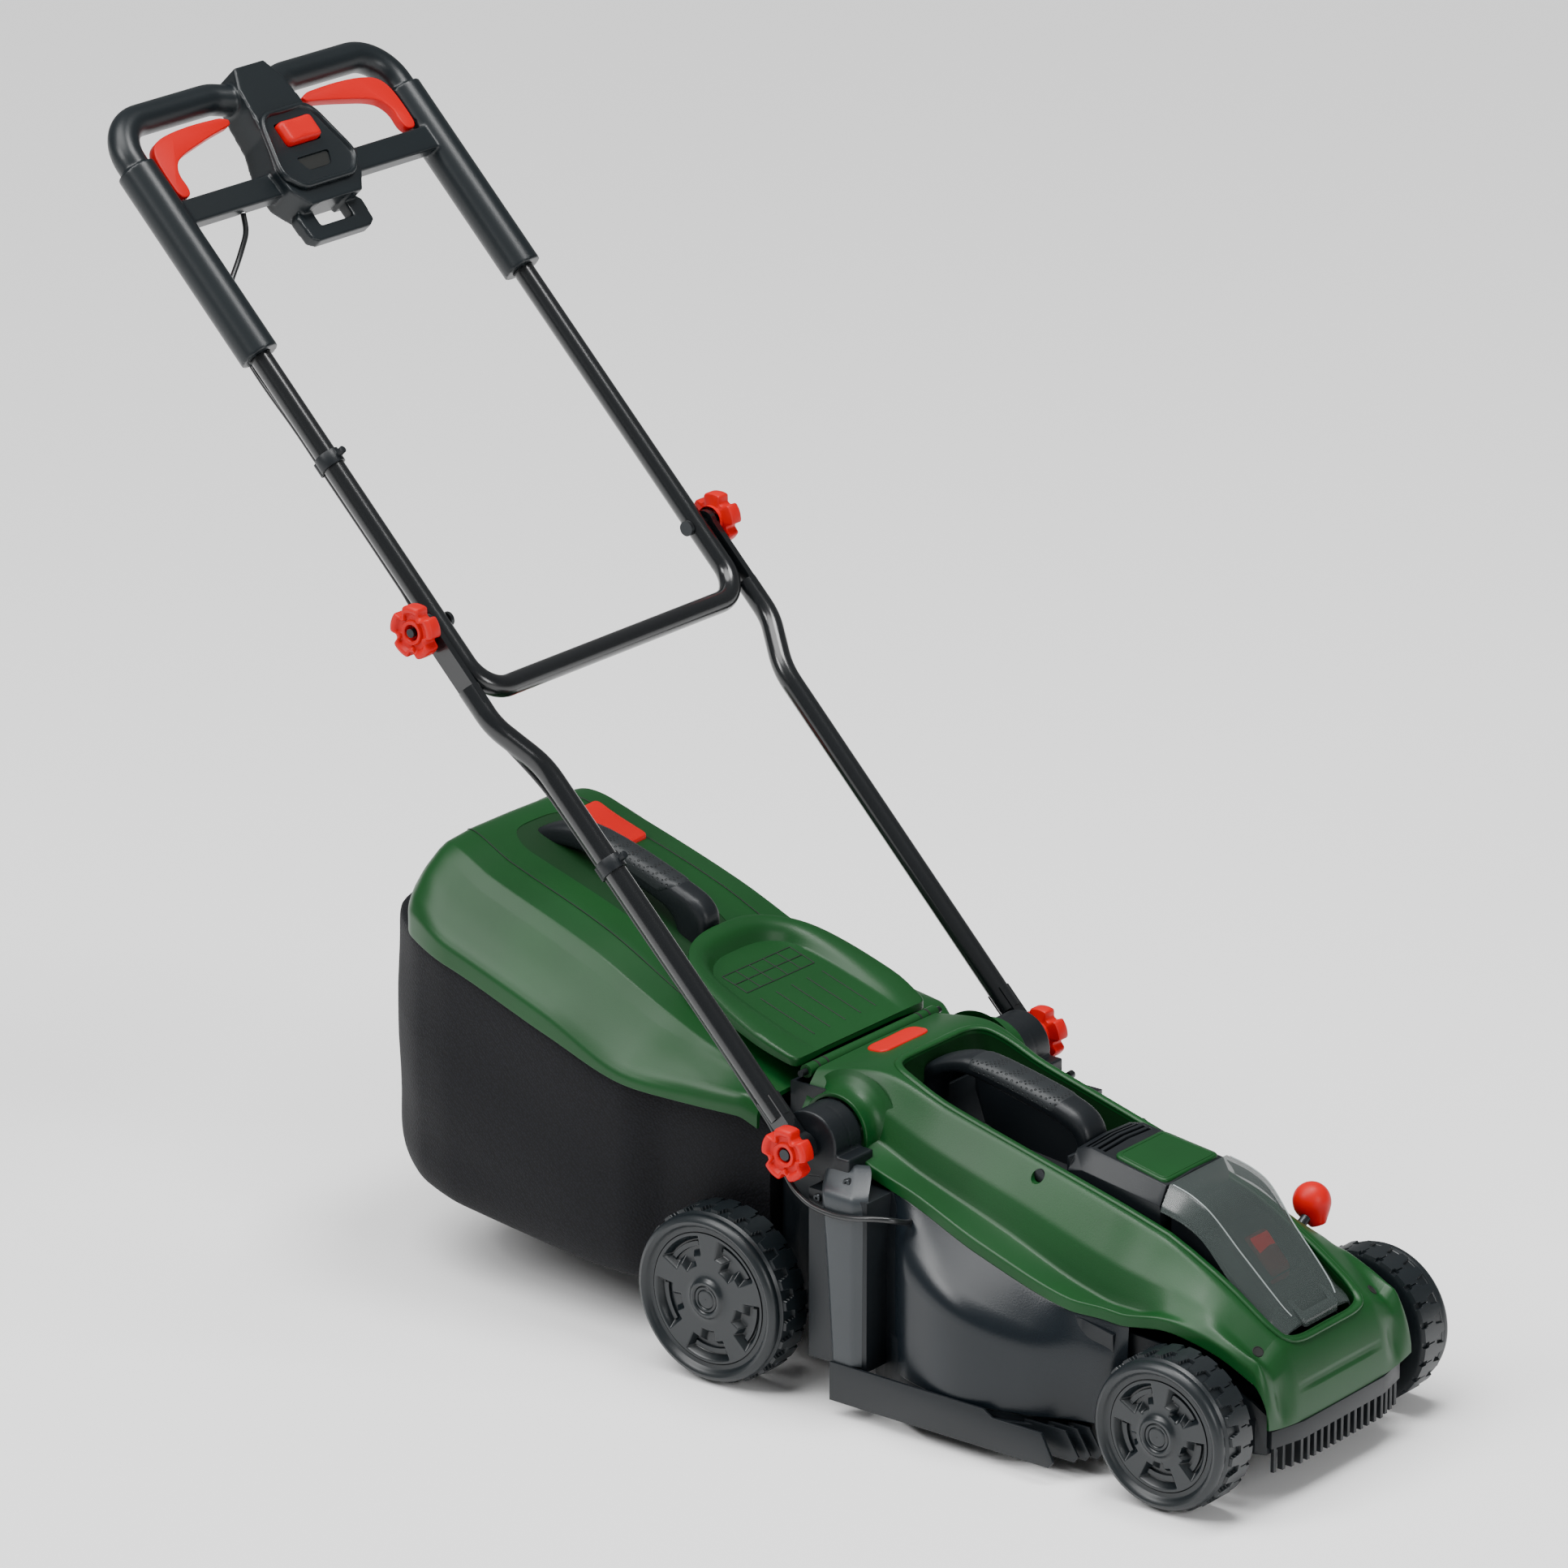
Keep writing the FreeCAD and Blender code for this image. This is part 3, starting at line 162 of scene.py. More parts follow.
plastic("bright_steel", (0.6, 0.6, 0.62), 0.25, 500, 0.06, metal=1.0)
plastic("dark_steel", (0.03, 0.033, 0.036), 0.35, 500, 0.06, metal=0.8)
plastic("black_tube", (0.004, 0.005, 0.006), 0.24, 1500, 0.04, coat=0.3)
plastic("cable_rubber", (0.008, 0.009, 0.010), 0.30, 900, 0.05)
plastic("tyre_plastic", (0.005, 0.008, 0.010), 0.38, 1000, 0.12, spec=0.45)
plastic("disc_plastic", (0.004, 0.007, 0.009), 0.34, 1000, 0.10, spec=0.5)
# painted shade: near-black lines standing in for the shade inside fine grooves
plastic("groove_black", (0.002, 0.004, 0.003), 0.7)
# painted shade: near-black for holes, gaps and slot floors, where shade falls
plastic("painted_hole_shade", (0.001, 0.002, 0.001), 0.8)


def dotted_grip():
    """Soft grip with rows of small dimples."""
    tree, shader = new_look("grip_dots")
    shader.inputs["Base Color"].default_value = (0.006, 0.009, 0.011, 1)
    shader.inputs["Roughness"].default_value = 0.5
    place = tree.nodes.new("ShaderNodeTexCoord")
    cells = tree.nodes.new("ShaderNodeTexVoronoi")
    cells.inputs["Scale"].default_value = 270.0
    cells.inputs["Randomness"].default_value = 0.0
    turn = tree.nodes.new("ShaderNodeMapping")
    turn.inputs["Rotation"].default_value = (0, 0, math.radians(45))
    tree.links.new(place.outputs["Object"], turn.inputs["Vector"])
    tree.links.new(turn.outputs["Vector"], cells.inputs["Vector"])
    dips = ramp(tree, cells.outputs["Distance"], 0.18, 0.34, (0, 0, 0), (1, 1, 1))
    bumped(tree, shader, dips.outputs["Color"], 1.0, 0.0016)


def woven_bag():
    """Dark textile with a fine weave."""
    tree, shader = new_look("bag_fabric")
    place = tree.nodes.new("ShaderNodeTexCoord")
    turn = tree.nodes.new("ShaderNodeMapping")
    turn.inputs["Rotation"].default_value = (0.0, math.radians(45), math.radians(20))
    tree.links.new(place.outputs["Object"], turn.inputs["Vector"])
    cells = tree.nodes.new("ShaderNodeTexVoronoi")
    cells.inputs["Scale"].default_value = 430.0
    cells.inputs["Randomness"].default_value = 0.6
    tree.links.new(turn.outputs["Vector"], cells.inputs["Vector"])
    tone = ramp(tree, cells.outputs["Distance"], 0.2, 0.6, (0.0035, 0.004, 0.007),
                (0.0008, 0.001, 0.002))
    tree.links.new(tone.outputs["Color"], shader.inputs["Base Color"])
    bumped(tree, shader, cells.outputs["Distance"], 0.45, -0.0010)
    shader.inputs["Roughness"].default_value = 0.72
    shader.inputs["Specular IOR Level"].default_value = 0.25


def smoky(name, colour, clear, rough):
    """Tinted clear plastic; clear is the share of light it lets through."""
    tree, shader = new_look(name)
    cloud = noise(tree, 12.0)
    tone = ramp(tree, cloud.outputs["Fac"], 0.3, 0.7, tuple(c * 0.92 for c in colour), colour)
    tree.links.new(tone.outputs["Color"], shader.inputs["Base Color"])
    shader.inputs["Roughness"].default_value = rough
    shader.inputs["Alpha"].default_value = 1 - clear


dotted_grip()
woven_bag()
smoky("smoky_clear", (0.050, 0.063, 0.060), 0.38, 0.20)
# painted highlight: a pale grey for the line along the lid's top crease
smoky("lid_crease_highlight", (0.30, 0.34, 0.34), 0.15, 0.2)


# ---------------------------------------------------------------- mesh tools
def sharpen(mesh, degrees):
    """Smooth shading with hard edges above an angle."""
    bm = bmesh.new()
    bm.from_mesh(mesh)
    limit = math.radians(degrees)
    for e in bm.edges:
        e.smooth = not (e.is_manifold and e.calc_face_angle(0) > limit)
    for f in bm.faces:
        f.smooth = True
    bm.to_mesh(mesh)
    bm.free()


def settle(obj, look, body, covers=(), sharp=40):
    """Finish of a piece: material, body it rides on, CAD nodes it stands for."""
    sharpen(obj.data, sharp)
    obj.data.materials.clear()
    obj.data.materials.append(looks[look])
    if covers:
        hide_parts(*covers)
    if body:
        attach(obj, body)
    return obj


def solid(name, points, faces):
    """Object from points in the mower's millimetres, with its normals outwards."""
    mesh = bpy.data.meshes.new(name)
    mesh.from_pydata(metres(points).tolist(), [], [list(map(int, f)) for f in faces])
    bm = bmesh.new()
    bm.from_mesh(mesh)
    bmesh.ops.remove_doubles(bm, verts=bm.verts, dist=1e-6)
    bmesh.ops.recalc_face_normals(bm, faces=bm.faces)
    bm.to_mesh(mesh)
    bm.free()
    obj = bpy.data.objects.new(name, mesh)
    bpy.context.scene.collection.objects.link(obj)
    return obj


def woven_faces(rows, cols, closed_rows, closed_cols):
    """Four-sided faces between neighbouring points of a grid."""
    faces = []
    for i in range(rows if closed_rows else rows - 1):
        j = (i + 1) % rows
        for k in range(cols if closed_cols else cols - 1):
            n = (k + 1) % cols
            faces.append((i * cols + k, i * cols + n, j * cols + n, j * cols + k))
    return faces


def skin(name, rows, ring=True, loop=False, caps=True):
    """Surface through rows of points; ring closes each row, loop joins last row to first."""
    grid = np.asarray(rows, float)
    r, c = grid.shape[:2]
    faces = woven_faces(r, c, loop, ring)
    if caps and not loop:
        faces.append(tuple(range(c))[::-1])
        faces.append(tuple((r - 1) * c + k for k in range(c)))
    return solid(name, grid.reshape(-1, 3), faces)


def curve(xs, table, at):
    """Smooth values between table rows that never overshoot them."""
    xs, ys, at = np.asarray(xs, float), np.asarray(table, float), np.asarray(at, float)
    h = np.diff(xs)
    d = np.diff(ys, axis=0) / h[:, None]
    m = np.zeros_like(ys)
    m[0], m[-1] = d[0], d[-1]
    for i in range(1, len(xs) - 1):
        same = d[i - 1] * d[i] > 0
        w1, w2 = 2 * h[i] + h[i - 1], h[i] + 2 * h[i - 1]
        a, b = np.where(same, d[i - 1], 1.0), np.where(same, d[i], 1.0)
        m[i] = np.where(same, (w1 + w2) / (w1 / a + w2 / b), 0.0)
    k = np.clip(np.searchsorted(xs, at) - 1, 0, len(xs) - 2)
    t, hh = ((at - xs[k]) / h[k])[:, None], h[k][:, None]
    return ((2 * t**3 - 3 * t**2 + 1) * ys[k] + (t**3 - 2 * t**2 + t) * hh * m[k]
            + (-2 * t**3 + 3 * t**2) * ys[k + 1] + (t**3 - t**2) * hh * m[k + 1])


def rounded(points, radii, closed=False, steps=4, fill=2):
    """Polyline with rounded corners; the number of points depends only on the corners."""
    p = np.asarray(points, float)
    n = len(p)
    arcs = []
    for i in range(n):
        if not closed and i in (0, n - 1):
            arcs.append([p[i]])
            continue
        a, b = p[i - 1] - p[i], p[(i + 1) % n] - p[i]
        la, lb = np.linalg.norm(a) + 1e-9, np.linalg.norm(b) + 1e-9
        r = radii if np.isscalar(radii) else radii[i]
        p0, p2 = p[i] + a / la * min(r, 0.46 * la), p[i] + b / lb * min(r, 0.46 * lb)
        t = np.linspace(0, 1, steps + 1)[:, None]
        arcs.append(list((1 - t)**2 * p0 + 2 * t * (1 - t) * p[i] + t**2 * p2))
    out = []
    for i in range(n):
        out += arcs[i]
        if i < n - 1 or closed:
            a, b = arcs[i][-1], arcs[(i + 1) % n][0]
            out += [a + (b - a) * (j + 1) / (fill + 1) for j in range(fill)]
    return np.array(out)


def mirrored(half):
    """Half section in (y, z) from the middle outwards, to the whole closed section."""
    half = np.asarray(half, float)
    left = half[::-1] * [-1, 1]
    return np.vstack([half, left])


def fine_path(points, step=6.0, rounds=3):
    """Soft line through points: corner cutting, then even spacing."""
    p = np.asarray(points, float)
    for _ in range(rounds):
        q = [p[0]]
        for a, b in zip(p, p[1:]):
            q += [a * 0.75 + b * 0.25, a * 0.25 + b * 0.75]
        p = np.array(q + [p[-1]])
    d = np.r_[0, np.cumsum(np.linalg.norm(np.diff(p, axis=0), axis=1))]
    at = np.linspace(0, d[-1], max(3, int(d[-1] / step) + 1))
    return np.column_stack([np.interp(at, d, p[:, k]) for k in range(p.shape[1])])


def frames(path, closed=False, up=None):
    """Side and normal along a path, without twist."""
    path = np.asarray(path, float)
    if closed:
        t = np.roll(path, -1, 0) - np.roll(path, 1, 0)
    else:
        t = np.gradient(path, axis=0)
    t /= np.linalg.norm(t, axis=1)[:, None] + 1e-12
    if up is not None:
        side = np.cross(t, np.asarray(up, float))
        side /= np.linalg.norm(side, axis=1)[:, None] + 1e-12
        return side, np.cross(side, t)
    n = np.cross(t[0], [0.3, 0.5, 0.8])
    n /= np.linalg.norm(n)
    side = []
    for v in t:
        n = n - v * (n @ v)
        n /= np.linalg.norm(n)
        side.append(n)
    side = np.array(side)
    return side, np.cross(t, side)


def along_path(name, path, section, closed=False, up=None):
    """A section (side, normal) carried along a path; section may change along it."""
    path = np.asarray(path, float)
    side, normal = frames(path, closed, up)
    rows = []
    for i, p in enumerate(path):
        s = section(i / max(1, len(path) - 1)) if callable(section) else section
        rows.append(p + s[:, :1] * side[i] + s[:, 1:] * normal[i])
    return skin(name, rows, True, closed)


def pulled_in(ring, inset):
    """Points of a flat ring moved towards its middle."""
    centre = ring.mean(0)
    d = ring - centre
    ln = np.linalg.norm(d, axis=1)[:, None]
    return centre + d * (ln - inset) / ln


def pillow(width, height, power=0.5, n=28):
    """Section between an ellipse and a rectangle."""
    a = np.linspace(0, 2 * math.pi, n, endpoint=False)
    c, s = np.cos(a), np.sin(a)
    return np.column_stack([np.sign(c) * np.abs(c)**power * width / 2,
                            np.sign(s) * np.abs(s)**power * height / 2])


def turned_y(name, profile, centre, n=64, side=1):
    """Turn an open (radius, y) outline about the Y axis through centre (x, z)."""
    rows = []
    for a in np.linspace(0, 2 * math.pi, n, endpoint=False):
        rows.append([(centre[0] + r * math.cos(a), side * y, centre[1] + r * math.sin(a))
                     for r, y in profile])
    return skin(name, rows, False, True, False)


def prism(name, outline, low, high, axis="z"):
    """Closed outline stretched along an axis: outline is (x, y), (x, z) or (s, y) points."""
    o = np.asarray(outline, float)
    rows = []
    for h in (low, high):
        col = np.full(len(o), float(h))
        if axis == "z":
            rows.append(np.column_stack([o, col]))
        elif axis == "y":
            rows.append(np.column_stack([o[:, 0], col, o[:, 1]]))
        else:
            rows.append(on_handle(np.column_stack([o, col])))
    return skin(name, rows, True, False, True)


def baked(obj):
    """Apply the modifiers of an object."""
    bpy.context.view_layer.update()
    shaped = bpy.data.meshes.new_from_object(obj.evaluated_get(bpy.context.evaluated_depsgraph_get()))
    obj.modifiers.clear()
    obj.data = shaped
    return obj


def carve(obj, cutter):
    """Take the cutter away from the object, and the cutter out of the scene."""
    mod = obj.modifiers.new("cut", "BOOLEAN")
    mod.operation = "DIFFERENCE"
    mod.object = cutter
    mod.solver = "EXACT"
    baked(obj)
    bpy.data.objects.remove(cutter)
    return obj


def walled(obj, thickness, side):
    """Give an open surface a wall thickness in millimetres."""
    mod = obj.modifiers.new("wall", "SOLIDIFY")
    mod.thickness = thickness * 0.001
    mod.offset = side
    return baked(obj)


def bevelled(obj, width, segments=2, degrees=35):
    """Round the edges that are sharper than an angle."""
    mod = obj.modifiers.new("edge", "BEVEL")
    mod.width = width * 0.001
    mod.segments = segments
    mod.limit_method = "ANGLE"
    mod.angle_limit = math.radians(degrees)
    mod.use_clamp_overlap = True
    return baked(obj)


def copied(name, node, flat=1.0):
    """Mesh of a CAD node with its flat faces whole again."""
    mesh = nodes[node].data.copy()
    bm = bmesh.new()
    bm.from_mesh(mesh)
    bmesh.ops.remove_doubles(bm, verts=bm.verts, dist=2e-6)
    if flat:
        bmesh.ops.dissolve_limit(bm, angle_limit=math.radians(flat), verts=bm.verts,
                                 edges=bm.edges)
    bm.to_mesh(mesh)
    bm.free()
    obj = bpy.data.objects.new(name, mesh)
    bpy.context.scene.collection.objects.link(obj)
    return obj


def softened(node, look, width=0.8, degrees=32, sharp=34):
    """CAD shape with its edges rounded."""
    obj = bevelled(copied(node + "_finish", node), width, 2, degrees)
    return settle(obj, look, nodes[node]["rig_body"], [node], sharp)


def moulded(node, look, voxel, rounds):
    """CAD shape as one moulded skin with soft edges."""
    obj = copied(node + "_finish", node, 0)
    mod = obj.modifiers.new("skin", "REMESH")
    mod.mode = "VOXEL"
    mod.voxel_size = voxel * 0.001
    baked(obj)
    mod = obj.modifiers.new("soft", "SMOOTH")
    mod.factor = 0.5
    mod.iterations = rounds
    baked(obj)
    return settle(obj, look, nodes[node]["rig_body"], [node], 60)


# ---------------------------------------------------------------- green cover
cover_rows = np.array([
    # x, rim z, rim y, crease y, crease z, lip y, lip z
    (40, 274, 86, 102, 250, 112, 228), (100, 284, 80, 101, 236, 128, 216),
    (170, 263, 74, 103, 209, 138, 202), (255, 241, 72, 106, 184, 139, 170),
    (350, 216, 72, 106, 150, 139, 144), (380, 207, 71, 106, 144, 132, 141),
    (400, 201, 71, 106, 144, 127, 138), (430, 187, 70, 106, 151, 117, 139),
    (465, 168, 69, 105, 150, 112, 133), (490, 152, 68, 104, 142, 111, 126),
    (521, 131, 65, 102, 129, 108, 110)], float)
opening = [(103, 46), (112, 60), (140, 64), (300, 62), (400, 58), (502, 57), (515, 52), (519, 36)]


def cover_at(x):
    """Rows of the cover's section table at x."""
    return curve(cover_rows[:, 0], cover_rows[:, 1:], np.atleast_1d(x))


def cover_half(row):
    """Half section: flat top, rim, flank with a soft line, crease, ledge, upright lip."""
    rim_z, rim_y, crease_y, crease_z, lip_y, lip_z = row
    mid_y = rim_y + (crease_y - rim_y) * 0.62
    dip = 10 * min(1.0, max(0.0, (175 - rim_z) / 40.0))
    mid_z = rim_z + (crease_z - rim_z) * 0.52 - dip
    outer = [(0.0, rim_z + 0.4), (rim_y, rim_z - 0.6), (mid_y + 1.6, mid_z), (crease_y, crease_z),
             (lip_y - 1.4, lip_z + 11), (lip_y, lip_z), (lip_y - 2.6, lip_z + 0.2),
             (lip_y - 4, lip_z + 8), (crease_y - 3.4, crease_z - 3.4), (mid_y, mid_z - 3.4),
             (rim_y - 3, rim_z - 4.6), (0.0, rim_z - 3.6)]
    return rounded(outer, [0, 4, 3.4, 3, 2.2, 1.0, 1.0, 2, 5, 7, 4, 0], False, 5, 3)


def rounded_opening(grow=0.0):
    """Outline of the cover's opening, grown outwards."""
    half = [(x - grow if x < 110 else (x + grow if x > 510 else x), y + grow) for x, y in opening]
    whole = half + [(x, -y) for x, y in reversed(half)]
    return rounded(whole, [16, 10, 12, 60, 60, 8, 8, 12] + [12, 8, 8, 60, 60, 12, 10, 16], True, 4, 6)


xs = np.r_[np.linspace(40, 100, 16), np.linspace(104, 500, 100), np.linspace(503, 521, 10)]
rows = []
for x, row in zip(xs, cover_at(xs)):
    sec = mirrored(cover_half(row))
    rows.append(np.column_stack([np.full(len(sec), x), sec]))
cover = skin("upper_cover_finish", rows, True, False, True)
cover = carve(cover, prism("tool", rounded_opening(0.2), 40, 330))
flank_hole, drum_at = (273.0, 227.5), (84.0, 235.0)   # x, z of the screw and the handle pivot
hole_ring = rounded(circle(flank_hole, 5.8, 20), 1, True, 2, 0)
for side in (-1, 1):
    carve(cover, prism("tool", hole_ring, side * 60, side * 130, "y"))
for side in (-1, 1):
    carve(cover, prism("tool", circle(drum_at, 31.5, 48), side * 117.5, side * 160, "y"))
settle(cover, "green_plastic", "deck", ["upper_cover"], 50)


def cover_z(x, y):
    """Height of the cover's outer surface."""
    half = cover_half(cover_at(x)[0])
    half = half[:np.argmax(half[:, 0]) + 1]
    return float(np.interp(abs(y), half[:, 0], half[:, 1]))


well_x, well_y, well_r = 509.5, 85.0, 5.0
flank_screw = [(0.1, 76), (5.6, 76), (5.7, 74), (0.1, 73)]
for side, tag in sides:
    y = side * well_y
    fall_x = cover_z(well_x - 3, y) - cover_z(well_x + 3, y)
    fall_y = cover_z(well_x, y - 3) - cover_z(well_x, y + 3)
    normal = np.array([fall_x, fall_y, 6.0])
    normal /= np.linalg.norm(normal)
    a_axis = np.cross(normal, [0, 1.0, 0])
    a_axis /= np.linalg.norm(a_axis)
    b_axis = np.cross(normal, a_axis)
    middle = np.array([well_x, y, cover_z(well_x, y)])
    rows = []
    for r, h in ((well_r, -2.5), (well_r, 0.5), (well_r - 0.6, 0.9), (well_r - 1.0, 0.4), (2.0, 0.2)):
        ring = circle((0, 0), r, 28)
        rows.append(middle + normal * h + ring[:, :1] * a_axis + ring[:, 1:] * b_axis)
    # the screw well is a near-black disc of painted shade, not a carved hole
    settle(skin("screw_well_" + tag, rows), "painted_hole_shade", "deck", (), 40)
    settle(turned_y("flank_screw_" + tag, flank_screw, flank_hole, 24, side), "dark_steel", "deck",
           ["cover_screws"] if side < 0 else (), 40)

# nose: a bulging wall that hangs from the front edge of the cover
nose_x = 521.0
edge_half = cover_half(cover_at(nose_x)[0])
edge_half = edge_half[:np.argmax(edge_half[:, 0]) + 1]
edge = np.vstack([edge_half[::-1] * [-1, 1], edge_half[1:]])
edge = edge[np.r_[True, np.linalg.norm(np.diff(edge, axis=0), axis=1) > 0.2]]
grid = []
for y, top in edge:
    far = abs(y)
    low = 66.0 + 6.0 * min(1.0, far / 108.0) ** 4
    reach = 18.4 - 2.5 * min(1.0, far / 108.0) ** 3
    back = 513.0 if far > 60 else 520.4
    near = (back + nose_x) / 2
    col = [(back, y, cover_z(back, y) + 0.15), (near, y, cover_z(near, y) + 0.5),
           (nose_x - 0.3, y, top + 0.45)]
    for q in np.linspace(0, 1, 40):
        down = min(1.0, max(0.0, q - 0.2) * 1.25)
        scoop = 4.5 * math.exp(-((far - 84) / 9.0) ** 2) * math.sin(math.pi * down) ** 1.2
        slot_dip = 1.2 if far < 52 and 0.50 < q < 0.60 else 0.0
        x = nose_x + 0.4 + reach * math.sin(math.pi / 2 * q ** 0.8) - scoop - slot_dip
        col.append((x, y * (1 - 0.012 * q), top - 0.2 + (low - top) * q))
    grid.append(col)
nose = walled(skin("cover_nose", grid, False, False, False), 2.6, -1.0)
settle(nose, "green_plastic", "deck", (), 45)

outline = rounded_opening(0.0)
rim_z = cover_at(outline[:, 0])[:, 0]
inner_wall = []
for drop, grow in ((0.5, 0.0), (3, 0.6), (26, -0.6), (30, -0.6)):
    ring = rounded_opening(grow)
    inner_wall.append(np.column_stack([ring, rim_z - drop]))
for drop, grow in ((30, 2.2), (3, 2.6)):
    ring = rounded_opening(grow)
    inner_wall.append(np.column_stack([ring, rim_z - drop]))
# inner wall of the opening in the darker green: painted shade
settle(skin("cover_inner_wall", inner_wall, True, False, False), "shaded_inner_green", "deck", (), 50)

bead_path = np.column_stack([rounded_opening(3.4), cover_at(rounded_opening(3.4)[:, 0])[:, 0] - 0.6])
settle(along_path("cover_rim_bead", bead_path, pillow(7.6, 4.6, 0.8, 14), True, (0, 0, 1)),
       "green_plastic", "deck", (), 60)

for side, tag in sides:
    bell = [(31.2, 117.2), (33.8, 117.5), (34.6, 116.6), (34.2, 113), (34.0, 108), (34.6, 103),
            (37.0, 98), (42.0, 93), (48, 90)]
    settle(turned_y("pivot_collar_" + tag, rounded(bell, 2.0, False, 3, 1), drum_at, 72, side),
           "green_plastic", "deck", (), 60)

# ---------------------------------------------------------------- rear insert and badge plate
def pad(name, outline, z_of, thick, look, body, covers=(), radius=8.0, edge=1.6):
    """Flat plate with rounded corners and a soft top edge, laid on a sloping surface."""
    rows = []
    base = rounded(outline, radius, True, 6, 4)
    for inset, lift in ((0, -1.0), (0, thick - edge), (edge * 0.3, thick - edge * 0.3),
                        (edge, thick), (edge + 3, thick + 0.05)):
        p = pulled_in(base, inset)
        rows.append(np.column_stack([p, z_of(p) + lift]))
    return settle(skin(name, rows, True, False, True), look, body, covers, 60)


pad("rear_insert_finish", [(47, -30), (47, 40), (77, 30), (77, -40)][::-1],
    lambda p: cover_at(p[:, 0])[:, 0], 1.6, "red_plastic", "deck", ["rear_insert"], 13)


def hump_z(p):
    """Height of the cowl under the plate."""
    return np.interp(p[:, 0], [285, 300, 382], [246, 249.5, 236.5])


plate = [(322, -36), (322, 36), (380, 40), (380, -40)]
pad("badge_plate_finish", plate, lambda p: hump_z(p) - 1.5, 2.6, "green_plastic", "deck",
    ["badge_plate"], 7)
ring_line = rounded(np.array([(325.5, -32.5), (325.5, 32.5), (376.5, 36.5), (376.5, -36.5)]), 6, True, 6, 5)
ring_path = np.column_stack([ring_line, hump_z(ring_line) + 1.0])
settle(along_path("badge_frame", ring_path, pillow(1.6, 1.2, 0.8, 8), True, (0, 0, 1)),
       "green_plastic", "deck", (), 60)

# ---------------------------------------------------------------- cowl and carry handle
def arch(name, line, picks, section, grow, look, body, covers=(), lowest=-2.0):
    """Handle between its outer and inner line; a grip's section ends at lowest, open below."""
    rows = []
    for n, k in enumerate(picks):
        o, i = line[k][:2], line[k][2:]
        c, d = (o + i) / 2, (o - i) / 2
        g = 1.0 + grow * min(1.0, n / 1.5, (len(picks) - 1 - n) / 1.5)
        rows.append([(c[0] + d[0] * v * g, u * g, c[1] + d[1] * v * g) for u, v in section if v > lowest])
    return settle(skin(name, rows), look, body, covers, 70)


softened("motor_cowl", "black_plastic", 2.2, 30, 40)
softened("battery_tray", "black_plastic", 1.0)
softened("battery_pack", "battery_plastic", 1.4)

arch_out = [(92, 232), (92, 256), (103, 272), (130, 284), (154, 288.6), (208, 279), (258, 267),
            (275, 256), (281.6, 242), (281.6, 228)]
arch_in = [(110, 232), (111, 250), (118, 261), (134, 269), (154, 269.6), (200, 259), (246, 249),
           (260, 243), (265, 236), (266, 228)]
both = fine_path(np.hstack([arch_out, arch_in]), 3.0, 2)
arch("carry_handle_finish", both, range(len(both)), pillow(33, 2, 0.62, 32), 0.0, "black_plastic",
     "deck", ["carry_handle"])
inside = [k for k, a in enumerate(both) if 150 < a[0] < 248]
arch("carry_grip", both, inside, pillow(33, 2, 0.62, 40), 0.065, "grip_dots", "deck", (), -0.15)

# ---------------------------------------------------------------- battery lid
lid_x = [386, 405, 424, 460, 499, 513]
lid_table = [(50, 238), (51, 234), (52, 226), (48, 191), (44, 153), (38, 138)]
rows, tops = [], []
for x, (half, z) in zip(np.linspace(386, 513, 44), curve(lid_x, lid_table, np.linspace(386, 513, 44))):
    top = half - 8.0
    out = float(np.interp(x, [386, 400, 500, 508, 513], [56.0, 56.3, 55.4, 52.5, 48.0]))
    drop = float(np.interp(x, [386, 495, 513], [22, 22, 9]))
    sec = rounded([(0, z), (top, z - 0.3), (out - 2, z - drop + 5), (out, z - drop), (out - 2.2, z - drop),
                   (out - 4, z - drop + 4.4), (top - 2.4, z - 3.2), (0, z - 2.8)],
                  [0, 2.4, 3, 0.6, 0.6, 3, 2, 0], False, 4, 2)
    whole = mirrored(sec)
    rows.append(np.column_stack([np.full(len(whole), x), whole]))
    tops.append((x, top, z))
# pale lines along the crease of the lid: painted highlight
for side, tag in sides:
    line = [(x, side * (y - 0.6), z - 0.35) for x, y, z in tops[1:-2]]
    settle(along_path("lid_crease_" + tag, line, pillow(1.5, 1.1, 1.0, 8), False, (0, 0, 1)),
           "lid_crease_highlight", "battery_lid", (), 60)
settle(skin("battery_lid_finish", rows), "smoky_clear", "battery_lid", ["battery_lid"], 30)
release = rounded([(446, 181), (444, 194), (451, 198), (464, 184), (477, 171), (477, 156), (468, 146),
                   (458, 156)], 5, True, 4, 1)
settle(bevelled(prism("pack_release", release, -19, 9, "y"), 2.0), "red_plastic", "deck", (), 50)
tab = rounded([(-25, 497), (-27, 512), (-24, 516), (24, 516), (27, 512), (25, 497), (20, 497),
               (19, 509), (-19, 509), (-20, 497)], 2.0, True, 3, 1)
rows = [np.column_stack([tab[:, 1], tab[:, 0], np.full(len(tab), 0.0) + z
                         - (tab[:, 1] - 497) * 0.75]) for z in (154, 147)]
settle(bevelled(skin("lid_latch_tab", rows), 0.8), "smoky_clear", "battery_lid", (), 50)

